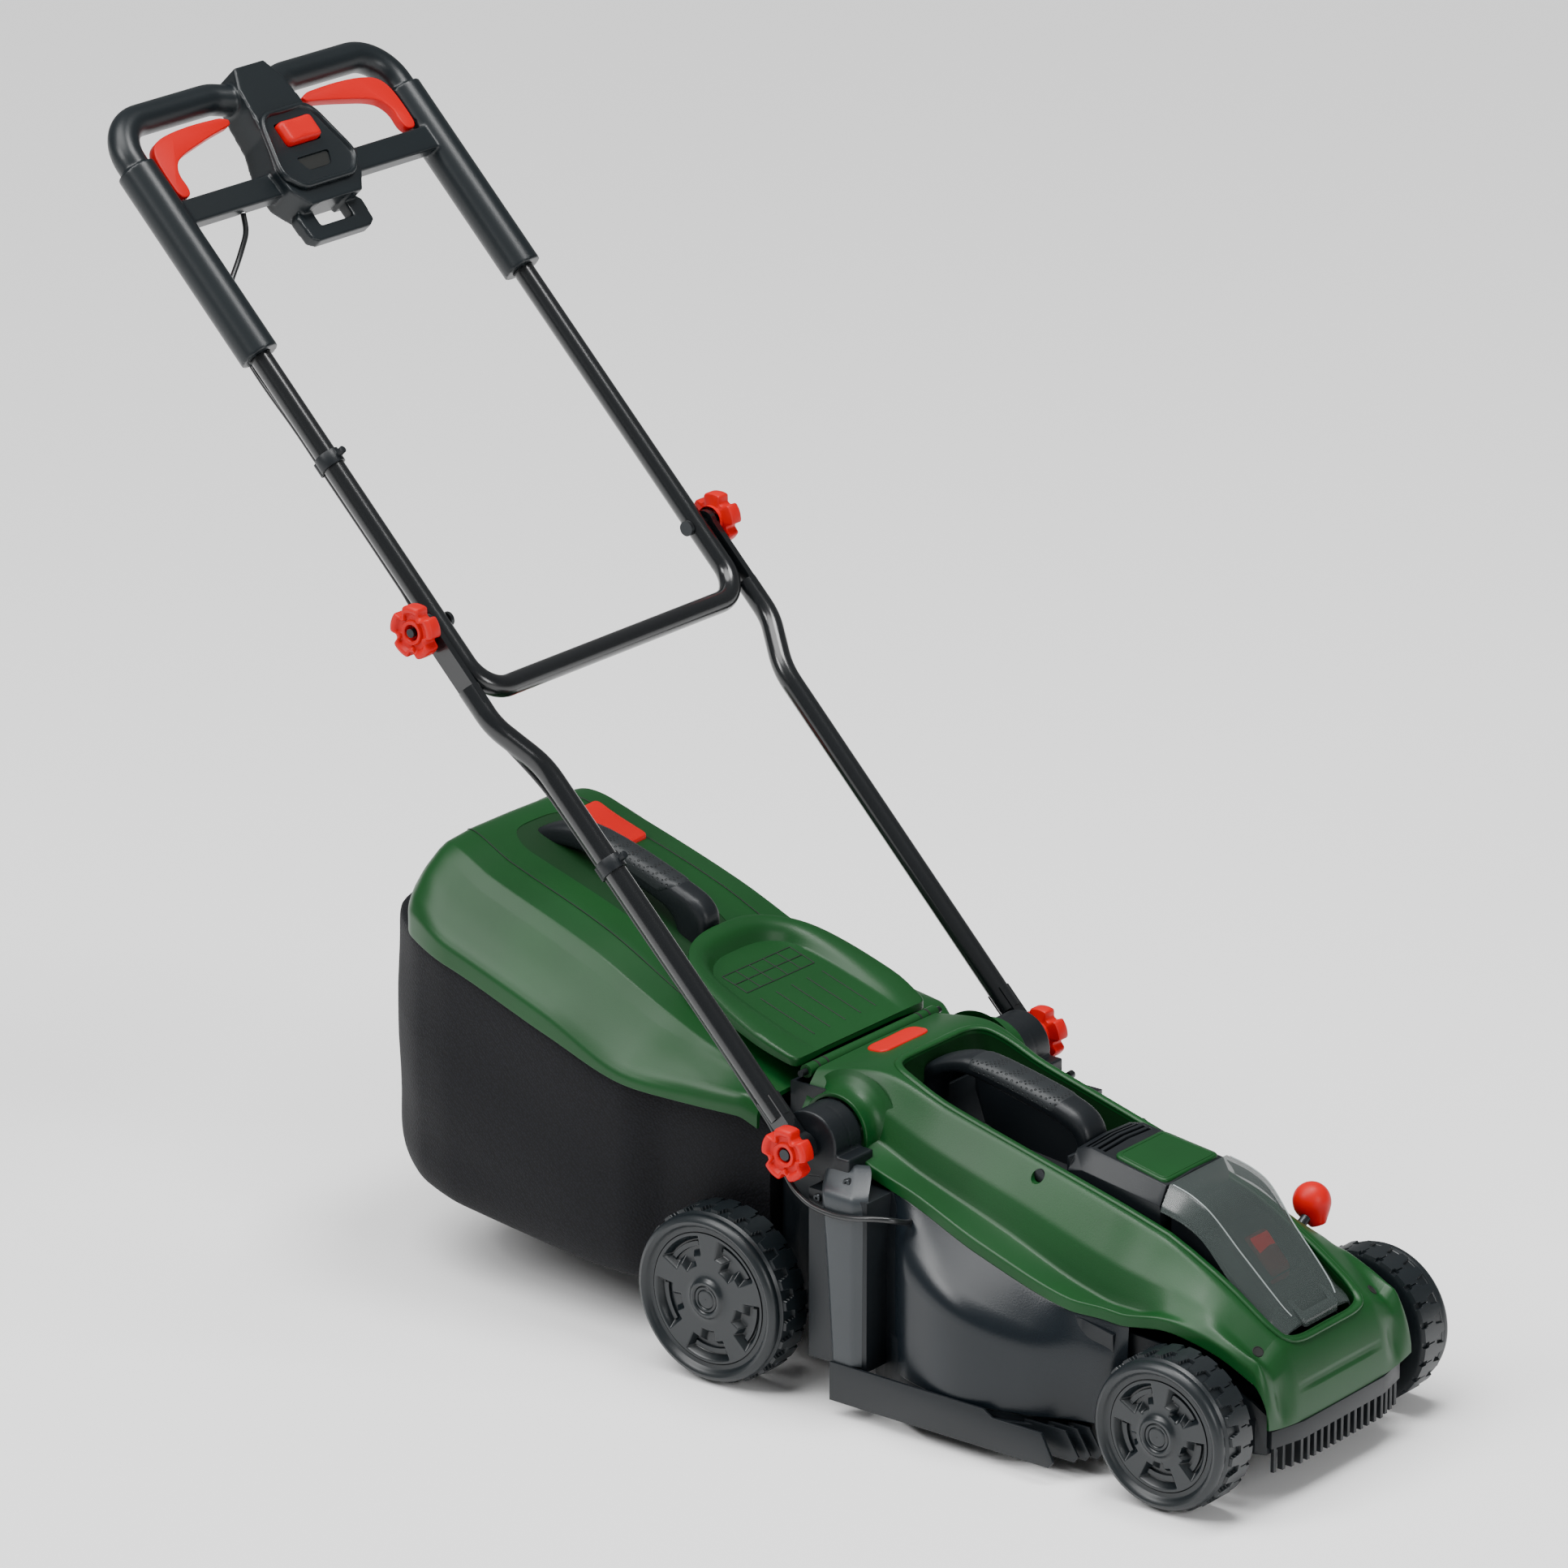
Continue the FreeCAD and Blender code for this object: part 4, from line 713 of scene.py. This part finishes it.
# ---------------------------------------------------------------- lower deck
softened("deck_shell", "black_plastic", 0.9, 30, 34)
bulge_x = [158, 168, 200, 255, 320, 365, 394, 404]
bulge_table = [(128, 150), (142, 160), (162, 148), (172, 131), (159, 114), (140, 108), (132, 105),
               (124, 100)]
lip_rows = cover_rows[:, [0, 5, 6]]
for side, tag in sides:
    rows = []
    at = np.linspace(158, 404, 60)
    for x, (sy, sz), (ly, lz) in zip(at, curve(bulge_x, bulge_table, at),
                                     curve(lip_rows[:, 0], lip_rows[:, 1:], at)):
        sec = rounded([(ly - 8, lz + 2), (ly - 1.5, lz + 1), (ly + (sy - ly) * 0.35, lz - 12),
                       (sy + 2.4, sz + 2), (sy + 2.4, sz - 26), (sy + 1.8, 46.2), (sy - 6, 46.2)],
                      [0, 2, 10, 16, 20, 1.5, 0], False, 6, 4)
        rows.append(np.column_stack([np.full(len(sec), x), side * sec[:, 0], sec[:, 1]]))
    settle(skin("deck_bulge_" + tag, rows, False, False, False), "satin_black_plastic", "deck", (), 60)
strut = [(50, 124, 159, 173.5), (150, 117, 159.5, 173.5), (200, 112, 160, 173.5), (206, 110, 158, 171),
         (214, 105, 152, 160), (221, 100, 145, 149), (223, 106, 140, 146)]
for side, tag in sides:
    rows = []
    for z, low, high, mid in fine_path(strut, 5.0, 2):
        z = z if side < 0 or z < 196 else 196 + (z - 196) * 0.55
        sec = rounded([(low, mid - 1), (low + 4, mid + 2.2), (high - 12, mid + 2.2), (high, mid - 5),
                       (high - 2, mid - 7), (high - 14, mid - 1.5), (low + 4, mid - 3)],
                      [1, 2, 3, 1, 1, 3, 1], True, 3, 1)
        rows.append(np.column_stack([sec[:, 0], side * sec[:, 1], np.full(len(sec), z)]))
    settle(skin("strut_finish_" + tag, rows), "strut_satin", "deck",
           ["side_struts"] if side < 0 else (), 50)
    for x, z, y in ((107, 196, 171), (132, 213, 162)):
        head = [(0.1, y - 4), (3.4, y - 4), (3.8, y + 1.6), (3.2, y + 2.6), (1.4, y + 2.6), (1.2, y + 1.2),
                (0.1, y + 1.2)]
        settle(turned_y(f"strut_screw_{tag}_{z}", head, (x, z), 24, side), "dark_steel", "deck", (), 50)
softened("grass_combs", "black_plastic", 0.8)
softened("front_comb", "black_plastic", 0.8)
moulded("pivot_drums", "black_plastic", 1.2, 3)

# ---------------------------------------------------------------- rear flap
flap_x = [22, -10, -80, -118, -132, -138.5]
flap_level = [278, 288, 310, 321, 327, 331]


def flap_z(x):
    """Height of the flap's sunk panel."""
    return np.interp(-np.asarray(x, float), -np.array(flap_x, float), flap_level)


outer_half = [(22, 60), (22, 94), (-10, 101), (-62, 96), (-104, 84), (-130, 56), (-138.2, 26)]
inner_half = [(22, 34), (22, 60), (-10, 63), (-62, 63), (-98, 58), (-113, 40), (-118, 20)]
soft = [8, 8, 16, 30, 26, 20, 20]
outer, inner = [rounded(h + [(x, -y) for x, y in reversed(h)], soft + soft[::-1], True, 6, 5)
                for h in (outer_half, inner_half)]
rows = []
for q, share, lift in ((0.0, 0.35, -7), (0.0, 0.55, -2.2), (0.012, 0.75, -0.8), (0.05, 0.92, 0),
                       (0.12, 1.0, 0), (0.3, 1.06, 0), (0.55, 1.0, 0), (0.72, 0.84, 0), (0.86, 0.5, 0),
                       (0.95, 0.16, 0), (1.0, 0.02, 0), (1.05, 0.0, 0), (1.5, 0.0, 0)):
    if q <= 1.0:
        ring = outer + (inner - outer) * q
    else:
        ring = inner + (np.array([-46.0, 0.0]) - inner) * (q - 1.0)
    base = flap_z(ring[:, 0])
    rise = np.interp(-ring[:, 0], [-22, 10, 80, 118, 139], [0.6, 5.0, 10.0, 13.0, 12.0])
    rows.append(np.column_stack([ring, base + rise * share + lift]))
under = [np.column_stack([r[:, :2], r[:, 2] - 4.0]) for r in (rows[-1], rows[-3])]
flap = skin("rear_flap_finish", under + rows, True, False, True)
barrel = fine_path([(32, -92, 270), (32, 92, 270)], 8.0, 0)
settle(along_path("flap_barrel", barrel, pillow(12.4, 12.4, 1.0, 28)), "green_plastic", "rear_flap", (), 50)
for side in (-1, 1):
    for y in (66, 78):
        gap = fine_path([(32, side * y, 270), (32, side * (y + 2.2), 270)], 1.0, 0)
        # near-black rings of painted shade in the gaps between the hinge knuckles
        settle(along_path(f"hinge_gap_{side}_{y}", gap, pillow(12.8, 12.8, 1.0, 28)), "painted_hole_shade",
               "rear_flap", (), 50)
settle(flap, "green_plastic", "rear_flap", ["rear_flap"], 40)
# the printed field stays blank: a plain grid of fine grooves, drawn as raised near-black lines of painted
# shade
lines = [[(-56, y), (4, y)] for y in (-44, -22, 0, 22, 44)]
lines += [[(x, -48), (x, 48)] for x in (-96, -82, -68)]
lines += [[(-96, y), (-68, y)] for y in (-48, -29, -10, 10, 29, 48)]
for n, line in enumerate(lines):
    path = fine_path([(x, y, 0) for x, y in line], 5.0, 0)
    path[:, 2] = flap_z(path[:, 0]) + 0.25
    settle(along_path(f"flap_groove_{n}", path, pillow(1.1, 0.7, 1.0, 6), False, (0, 0, 1)),
           "groove_black", "rear_flap", (), 60)

# ---------------------------------------------------------------- grass box
lid_rows = np.array([
    # x, top z, pad y, pad z, crease y, crease z, rim y, rim z
    (-414, 364, 34, 362, 60, 345, 64, 322), (-395, 384, 70, 380, 114, 352, 119, 324),
    (-368, 397, 94, 393, 146, 352, 151, 320), (-315, 381, 104, 376, 159, 336, 165, 308),
    (-200, 344, 108, 338, 160, 297, 166, 270), (-110, 303, 112, 300, 158, 261, 164, 243),
    (-60, 286, 117, 284, 154, 258, 158, 240), (0, 262, 108, 261, 145, 258, 149, 238),
    (17, 254, 104, 253, 138, 250, 142, 228)], float)


def box_lid_half(x, row):
    """Half section of the lid: pad, step, flank, crease, rim and the wall inside."""
    top, py, pz, cy, cz, ry, rz = row
    t = np.clip(min((x + 385) / 60.0, (-30 - x) / 90.0), 0, 1)
    step = 6.0 * t * t * (3 - 2 * t)
    ly, lz = py + (cy - py) * 0.22, pz + (cz - pz) * 0.12
    sec = [(0, top), (py - 34, top - 0.6), (py, pz), (ly, lz - step), (ly + (cy - ly) * 0.55,
           lz - step + (cz - lz) * 0.42), (cy, cz), (ry, cz - 10), (ry, rz), (ry - 3, rz),
           (ry - 4, cz - 12), (cy - 4, cz - 4), (py - 2, pz - 4), (0, top - 4)]
    return rounded(sec, [0, 4, 2, 1.6, 9, 5, 3.4, 1, 1, 4, 5, 4, 0], False, 5, 3)


at = np.r_[np.linspace(-414, -396, 12), np.linspace(-392, 17, 120)]
rows = []
for x, row in zip(at, curve(lid_rows[:, 0], lid_rows[:, 1:], at)):
    whole = mirrored(box_lid_half(x, row))
    rows.append(np.column_stack([np.full(len(whole), x), whole]))
box_lid = skin("grass_box_lid_finish", rows)
room = rounded([(-349, -30), (-349, 30), (-330, 44), (-170, 44), (-132, 30), (-132, -30), (-170, -44),
                (-330, -44)], [20, 20, 14, 20, 20, 20, 20, 14], True, 5, 4)


def floor_z(x):
    """Height of the floor of the lid's recess."""
    return np.interp(x, [-349, -330, -180, -150, -132], [352, 338, 287, 298, 322])


tool = skin("tool", [np.column_stack([room, floor_z(room[:, 0])]),
                     np.column_stack([room, np.full(len(room), 430.0)])])
carve(box_lid, tool)
settle(box_lid, "green_plastic", "grass_box", ["grass_box_lid"], 45)
# rear wall of the lid, from its last section down to the rim of the bag
end_half = box_lid_half(-414, lid_rows[0, 1:])
end_half = end_half[:np.argmax(end_half[:, 0]) + 1]
grid = []
for u in np.linspace(-1, 1, 49):
    y_top, y_low = 63.0 * u, 113.0 * u
    top_point = np.array([-412.0, y_top, np.interp(abs(y_top), end_half[:, 0], end_half[:, 1]) + 0.2])
    low_point = np.array([np.interp(abs(y_low), [0, 30, 64, 92, 113], [-441, -440, -433, -418, -398]),
                          y_low, 322.0])
    grid.append([top_point + (low_point - top_point) * q
                 + np.array([-7.0, 0, 4.0]) * math.sin(math.pi * q) * (1 - u * u)
                 for q in np.linspace(0, 1, 16)])
rear_wall = walled(skin("box_lid_rear", grid, False, False, False), 2.6, 0.0)
settle(rear_wall, "green_plastic", "grass_box", (), 50)
# floor and walls of the lid's recess in the darker green: painted shade
bowl = []
for inset, mix in ((-0.6, 0.0), (0.4, 0.35), (1.6, 0.75), (5, 0.95), (12, 1.0), (26, 1.0)):
    p = pulled_in(room, inset)
    top = curve(lid_rows[:, 0], lid_rows[:, 1:2], p[:, 0])[:, 0] - 0.8
    bowl.append(np.column_stack([p, top * (1 - mix) + (floor_z(p[:, 0]) - 0.5) * mix]))
settle(skin("box_recess", bowl, True, False, True), "shaded_inner_green", "grass_box", (), 50)
# thin near-black lines along the lid: painted groove shade
for side, tag in sides:
    line = [(x, side * (py - 30), top - 0.45) for x, top, py in
            [(x, *curve(lid_rows[:, 0], lid_rows[:, 1:3], [x])[0]) for x in np.linspace(-392, -60, 60)]]
    settle(along_path("lid_line_" + tag, line, pillow(0.9, 0.7, 1.0, 6), False, (0, 0, 1)),
           "groove_black", "grass_box", (), 60)

arch_out = [(-340, 352), (-352, 376), (-344, 388), (-313, 401), (-268, 401), (-162, 366),
            (-147, 355), (-142, 343), (-146, 300)]
arch_in = [(-326, 356), (-334, 370), (-326, 374), (-308, 380), (-272, 377), (-200, 352),
           (-186, 343), (-178, 328), (-176, 304)]
both = fine_path(np.hstack([arch_out, arch_in]), 3.0, 2)
bow = pillow(27.2, 2, 0.55, 40)
arch("grass_box_handle_finish", both, range(len(both)), bow, 0.0, "black_plastic", "grass_box",
     ["grass_box_handle"])
inside = [k for k, a in enumerate(both) if -290 < a[0] < -178 and a[1] > 340]
arch("box_grip", both, inside, bow, 0.065, "grip_dots", "grass_box", (), -0.15)
red = [(-338, 28), (-340, 76), (-280, 76), (-278, 28)]
pad("level_flap_finish", red, lambda p: curve(lid_rows[:, 0], lid_rows[:, 1:2], p[:, 0])[:, 0] + 0.2, 2.6,
    "red_plastic", "level_flap", ["level_flap"], 6, 1.2)

# x, half width, top z, low z
bag_rows = np.array([(-442, 64, 318, 112), (-425, 104, 320, 92), (-395, 134, 320, 80),
                     (-355, 156, 315, 74), (-315, 163, 306, 68), (-200, 163.5, 267, 54),
                     (-130, 158, 242, 48), (-84, 140, 240, 50), (-40, 137, 237, 58),
                     (17, 124, 226, 78)], float)
at = np.r_[np.linspace(-442, -430, 6), np.linspace(-425, 17, 90)]
rows = []
for x, (half, top, low) in zip(at, curve(bag_rows[:, 0], bag_rows[:, 1:], at)):
    sec = rounded([(0, top + 6), (half - 8, top + 6), (half - 3.5, top), (half - 1.5, top - 50),
                   (half - 1.0, (top + low) / 2), (half - 2.5, low + 26), (half - 16, low + 2), (0, low)],
                  [0, 6, 10, 40, 60, 18, 16, 0], False, 5, 5)
    near_side = np.clip((half - np.abs(half - sec[:, 0])) / 60, 0, 1)
    sway = 1.4 * np.sin(sec[:, 1] * 0.045 + x * 0.021) * near_side
    sec[:, 0] = np.minimum(sec[:, 0] + np.where(sec[:, 0] > half - 20, sway, 0), half - 0.3)
    whole = mirrored(sec)
    rows.append(np.column_stack([np.full(len(whole), x), whole]))
settle(skin("grass_box_bag_finish", rows), "bag_fabric", "grass_box", ["grass_box_bag"], 70)
softened("grass_box_frame", "black_plastic", 0.6)


# ---------------------------------------------------------------- wheels
wheel_width = 47
lug_steps = 26                                   # turns of the tread outline per lug


def tyre(name, hub, out, radius, side, lugs, node, body):
    """Tyre with its tread, turned about the hub (x, z); out is its outer face."""
    inner = radius - 19
    outline = [(inner, 6), (inner + 1, 2.5), (radius - 6, 1.2), (radius - 3, 2.4)]
    tread = [(radius, w) for w in np.linspace(3.6, 34.0, 40)]
    bead = [(radius - 3.4, 35.2), (radius - 4.2, 37), (radius - 3.6, 39), (radius - 3.4, 41.5),
            (radius - 4.4, 44), (radius - 6.6, 46.2), (radius - 9, 46.9), (radius - 11.4, 46.2),
            (radius - 13.2, 44.2), (radius - 14, 42.6), (radius - 15, 41.8), (inner, 41.6)]
    profile = np.array(outline + tread + bead)
    count = lugs * lug_steps
    rows = []
    for k in range(count):
        a = 2 * math.pi * k / count
        p = (k / lug_steps) % 1.0
        line = profile.copy()
        w = profile[4:4 + len(tread), 1]
        r = np.full(len(w), float(radius))
        far = np.abs(p - 0.5)
        tooth = 0.20 + 0.010 * np.clip(34 - w, 0, 12)
        r = np.where((w > 21.5) & (far > tooth) & (w < 33.2), radius - 3.2, r)
        r = np.where((w > 33.2), radius - 2.6, r)
        r = np.where((w < 17) & (min(p, 1 - p) < 0.03), radius - 1.4, r)
        r = np.where((w < 8.5) & (min(p, 1 - p) < 0.14), radius - 3.0, r)
        line[4:4 + len(tread), 0] = r
        rows.append([(hub[0] + q[0] * math.cos(a), side * (out - wheel_width + q[1]),
                      hub[1] + q[0] * math.sin(a)) for q in line])
    return settle(skin(name, rows, False, True, False), "tyre_plastic", body, [node], 32)


def pocket_depth(r, a, outer):
    """Five stepped pockets between flat pads, with an arc shelf in each."""
    turn = (a - math.pi / 2) % (2 * math.pi / 5)
    off = math.degrees(abs(turn - math.pi / 5))
    low, high = outer - 31, outer - 3.5
    wide = min(r - (low + 9), high - r, math.radians(25 - off) * r)
    narrow = min(r - low, high - 9 - r, math.radians(13 - off) * r)
    inside = max(wide, narrow)
    shelf = 1.0 if high - 11 < r < high - 6 and off < 20 else 0.0
    slope_share = min(1.0, max(0.0, inside / 4.2))
    return (7.0 - 2.4 * shelf) * slope_share


def disc(name, hub, out, radius, side, node, body):
    """Wheel disc with its cap and pockets."""
    outer = radius - 19
    rim = outer - 1.0
    radii = np.r_[np.array([0.4, 3, 6, 8, 8.8, 9.4, 11.5, 12.2, 13.0, 15.0, 16, 17.2, 18.5, 20, 22, 24]),
                  np.linspace(25.5, rim, 52)]
    height = {0.4: 45.0, 3: 45.0, 6: 45.0, 8: 45.0, 8.8: 44.2, 9.4: 45.4, 11.5: 45.4, 12.2: 44.4,
              13.0: 46.2, 15.0: 46.4, 16: 46.2, 17.2: 45.0, 18.5: 43.6, 20: 42.8, 22: 42.4, 24: 42.2}
    count = 400
    rows = []
    for k in range(count):
        a = 2 * math.pi * k / count
        line = []
        for r in radii:
            w = height.get(float(r), 42.2) - (pocket_depth(r, a, outer) if r > 25 else 0)
            line.append((r, w))
        line += [(rim, 40.5), (outer + 0.4, 40.0), (outer + 0.4, 8.0), (outer - 4, 6.0), (20, 4.0)]
        rows.append([(hub[0] + r * math.cos(a), side * (out - wheel_width + w), hub[1] + r * math.sin(a))
                     for r, w in line])
    return settle(skin(name, rows, False, True, False), "disc_plastic", body, [node], 64)


for place, hub, out, radius, lugs in (("rear", (0.0, 80.0), 194.7, 80.0, 26),
                                      ("front", (467.5, 69.5), 173.0, 69.5, 24)):
    for side, tag in sides:
        key = f"{place}_{tag}"
        tyre(key + "_tyre_finish", hub, out, radius, side, lugs, key + "_tyre", key + "_wheel")
        disc(key + "_disc_finish", hub, out, radius, side, key + "_disc", key + "_wheel")


# ---------------------------------------------------------------- knobs
def lobed_knob(name, centre, y0, side, node, body, turn):
    """Clamp knob with five lobes and a sunk middle."""
    def radius_at(a):
        c = math.cos(5 * (a - turn))
        return 20.8 + 3.4 * math.tanh(4.2 * (c + 0.62))

    # share of the lobed outline, or a fixed radius, and the height
    rings = [(0.0, 13, 0), (0.0, 13.4, 3.4), (0.82, 0, 3.8), (0.96, 0, 4.4), (1.0, 0, 6.2),
             (1.0, 0, 15.8), (0.97, 0, 17.6), (0.9, 0, 18.4), (0.78, 0, 18.4), (0.74, 0, 17.4),
             (0.70, 0, 15.2), (0.66, 0, 14.8), (0, 11.6, 14.8), (0, 11.0, 16.4), (0, 10.4, 17.4),
             (0, 8.0, 17.4), (0, 7.2, 16.6), (0, 6.4, 9.6), (0, 0.3, 9.4)]
    rows = []
    count = 150
    for k in range(count):
        a = 2 * math.pi * k / count
        line = []
        for share, fixed, h in rings:
            r = fixed if share == 0 else max(12.0, share * radius_at(a))
            line.append((centre[0] + r * math.cos(a), side * (y0 + h), centre[2] + r * math.sin(a)))
        rows.append(line)
    return settle(skin(name, rows, False, True, False), "red_plastic", body, [node], 48)


for side, tag in sides:
    lobed_knob(f"upper_knob_{tag}_finish", upper, 198.5, side, f"upper_knob_{tag}",
               f"upper_knob_{tag}", 0.35)
    lobed_knob(f"lower_knob_{tag}_finish", pivot, 173.0, side, f"lower_knob_{tag}",
               f"lower_knob_{tag}", 0.35)

ball = [(0.1, 17.0), (4.5, 16.5), (9, 14.6), (13, 11.2), (16, 6.2), (17.2, 0.0), (16.4, -6.2),
        (13.6, -11.4), (10.4, -16.2), (8.0, -20.4), (6.2, -22.6), (0.1, -23.0)]
rows = []
ball_at, ball_axis = np.array([416.0, 128.0, 175.0]), np.array([-0.42, 0.12, 0.90])
ball_axis /= np.linalg.norm(ball_axis)
side_a = np.cross([0.0, 1.0, 0.0], ball_axis)
side_a /= np.linalg.norm(side_a)
side_b = np.cross(ball_axis, side_a)
ball_line = fine_path(ball, 1.4, 2)
for a in np.linspace(0, 2 * math.pi, 48, endpoint=False):
    rows.append([ball_at + ball_axis * h + (side_a * math.cos(a) + side_b * math.sin(a)) * r
                 for r, h in ball_line])
settle(skin("height_knob_finish", rows, False, True, False), "red_plastic", "height_lever",
       ["height_knob"], 70)

# ---------------------------------------------------------------- handle
moulded("handle_console", "console_plastic", 1.3, 6)
face = [(497, 27), (487, 37), (442, 50), (431, 50), (415, 34)]
whole = face + [(s, -y) for s, y in reversed(face)]
outline = rounded(whole, [8, 8, 7, 7, 8] * 2, True, 4, 3)
rows = []
for inset, w in ((1.5, 20.5), (0.6, 21.5), (0, 23.5), (0.2, 25.6), (1.2, 27.0), (2.6, 27.5),
                 (4.2, 27.2), (5.2, 26.0), (6.0, 24.6), (9.0, 24.4)):
    p = pulled_in(outline, inset)
    rows.append(on_handle(np.column_stack([p, np.full(len(p), w)])))
plate = skin("console_plate_finish", rows)
well = rounded([(457.6, -23), (457.6, 23), (483.4, 23), (483.4, -23)], 4, True, 3, 1)
carve(plate, prism("tool", well, 15, 40, "h"))
slot = rounded([(446, -22), (446, 22), (431, 15), (431, -15)], 4, True, 3, 1)
carve(plate, prism("tool", slot, 22.6, 40, "h"))
settle(plate, "console_plastic", "upper_handle", ["console_plate"], 40)
slot_floor = rounded([(445, -21), (445, 21), (432, 14.4), (432, -14.4)], 4, True, 3, 1)
# the slot floor in near-black: painted shade
settle(prism("console_slot", slot_floor, 22.2, 22.9, "h"), "painted_hole_shade", "upper_handle", (), 40)

base = rounded([(458.7, -21.8), (458.7, 21.8), (482.3, 21.8), (482.3, -21.8)], 5, True, 4, 2)
rows = []
for inset, w in ((0, 11), (0, 26.5), (0.8, 29.6), (2.6, 31.4), (5.0, 31.9), (8.0, 31.9)):
    p = pulled_in(base, inset)
    rows.append(on_handle(np.column_stack([p, np.full(len(p), w)])))
settle(skin("lock_button_finish", rows), "red_plastic", "lock_button", ["lock_button"], 60)

lever = np.array([(507, 49), (511.5, 58), (513, 95), (511, 130), (506, 149), (497, 157), (484, 160),
                  (467, 160.5), (453, 160), (447.5, 156), (448, 147), (456, 143.5), (470, 145),
                  (482, 138), (488, 124), (492, 106), (498, 78), (502, 52)])
for side, tag in sides:
    line = rounded(lever * [1, side], [3, 5, 20, 16, 12, 12, 12, 10, 5, 5, 5, 6, 12, 12, 14, 16, 10, 3],
                   True, 3, 2)
    settle(bevelled(prism(f"bail_lever_{tag}_finish", line, -1.0, 9.0, "h"), 2.2, 3, 40), "red_plastic",
           f"bail_lever_{tag}", [f"bail_lever_{tag}"], 50)

for node in ("cable_clip_upper", "cable_clip_lower"):
    softened(node, "black_plastic", 0.5)

# ---------------------------------------------------------------- finishes of the kept nodes
for name, node in nodes.items():
    if node.hide_render:
        continue
    slots = [m.name.split(".")[0] for m in node.data.materials if m]
    look = next((s for s in slots if s in looks), None)
    if name in ("pivot_bolts", "handle_bolts", "cover_screws", "flap_hinge_pin", "height_lever"):
        look = "dark_steel"
    if look is None:
        print("no look for", name, slots)
        look = "black_plastic"
    node.data.materials.clear()
    node.data.materials.append(looks[look])

# ---------------------------------------------------------------- floor, light, camera
floor = bpy.data.meshes.new("floor")
floor.from_pydata([(-30, -30, 0), (30, -30, 0), (30, 30, 0), (-30, 30, 0)], [], [(0, 1, 2, 3)])
floor = bpy.data.objects.new("floor", floor)
bpy.context.scene.collection.objects.link(floor)
_, shader = new_look("floor_paint")
shader.inputs["Base Color"].default_value = (0.95, 0.95, 0.95, 1)
shader.inputs["Roughness"].default_value = 0.9
floor.data.materials.append(looks["floor_paint"])

world = bpy.data.worlds.new("studio")
bpy.context.scene.world = world
world.use_nodes = True
world.node_tree.nodes["Background"].inputs["Color"].default_value = (1, 1, 1, 1)
world.node_tree.nodes["Background"].inputs["Strength"].default_value = 0.25


def softbox(name, place, aim, size, power):
    """Square lamp that looks at a point."""
    light = bpy.data.lights.new(name, "AREA")
    light.shape = "RECTANGLE"
    light.size, light.size_y = size, size
    light.energy = power
    obj = bpy.data.objects.new(name, light)
    obj.location = place
    obj.rotation_euler = (Vector(aim) - Vector(place)).to_track_quat("-Z", "Y").to_euler()
    bpy.context.scene.collection.objects.link(obj)


softbox("key", (-1.6, -3.2, 3.0), (0, 0, 0.3), 1.3, 85)
softbox("top", (0.6, 0.4, 3.6), (0, 0, 0.2), 1.1, 80)
softbox("front", (3.4, -0.6, 1.6), (0.2, 0, 0.3), 1.0, 40)
sun = bpy.data.lights.new("sun", "SUN")
sun.energy = 3.2
sun.angle = math.radians(45)
sky = bpy.data.objects.new("sun", sun)
sky.rotation_euler = (math.radians(18), math.radians(-12), 0)
bpy.context.scene.collection.objects.link(sky)

azimuth, height = math.radians(38.144), math.radians(19.340)
back = Vector((math.sin(azimuth) * math.cos(height), -math.cos(azimuth) * math.cos(height),
               math.sin(height)))
target = Vector((0.01495, 0.0, 0.48841))
eye = bpy.data.cameras.new("camera")
eye.lens = 188.34
eye.sensor_width = 36.0
eye.clip_end = 100
camera = bpy.data.objects.new("camera", eye)
camera.location = target + back * 7.1848
camera.rotation_euler = (-back).to_track_quat("-Z", "Y").to_euler()
bpy.context.scene.collection.objects.link(camera)
bpy.context.scene.camera = camera
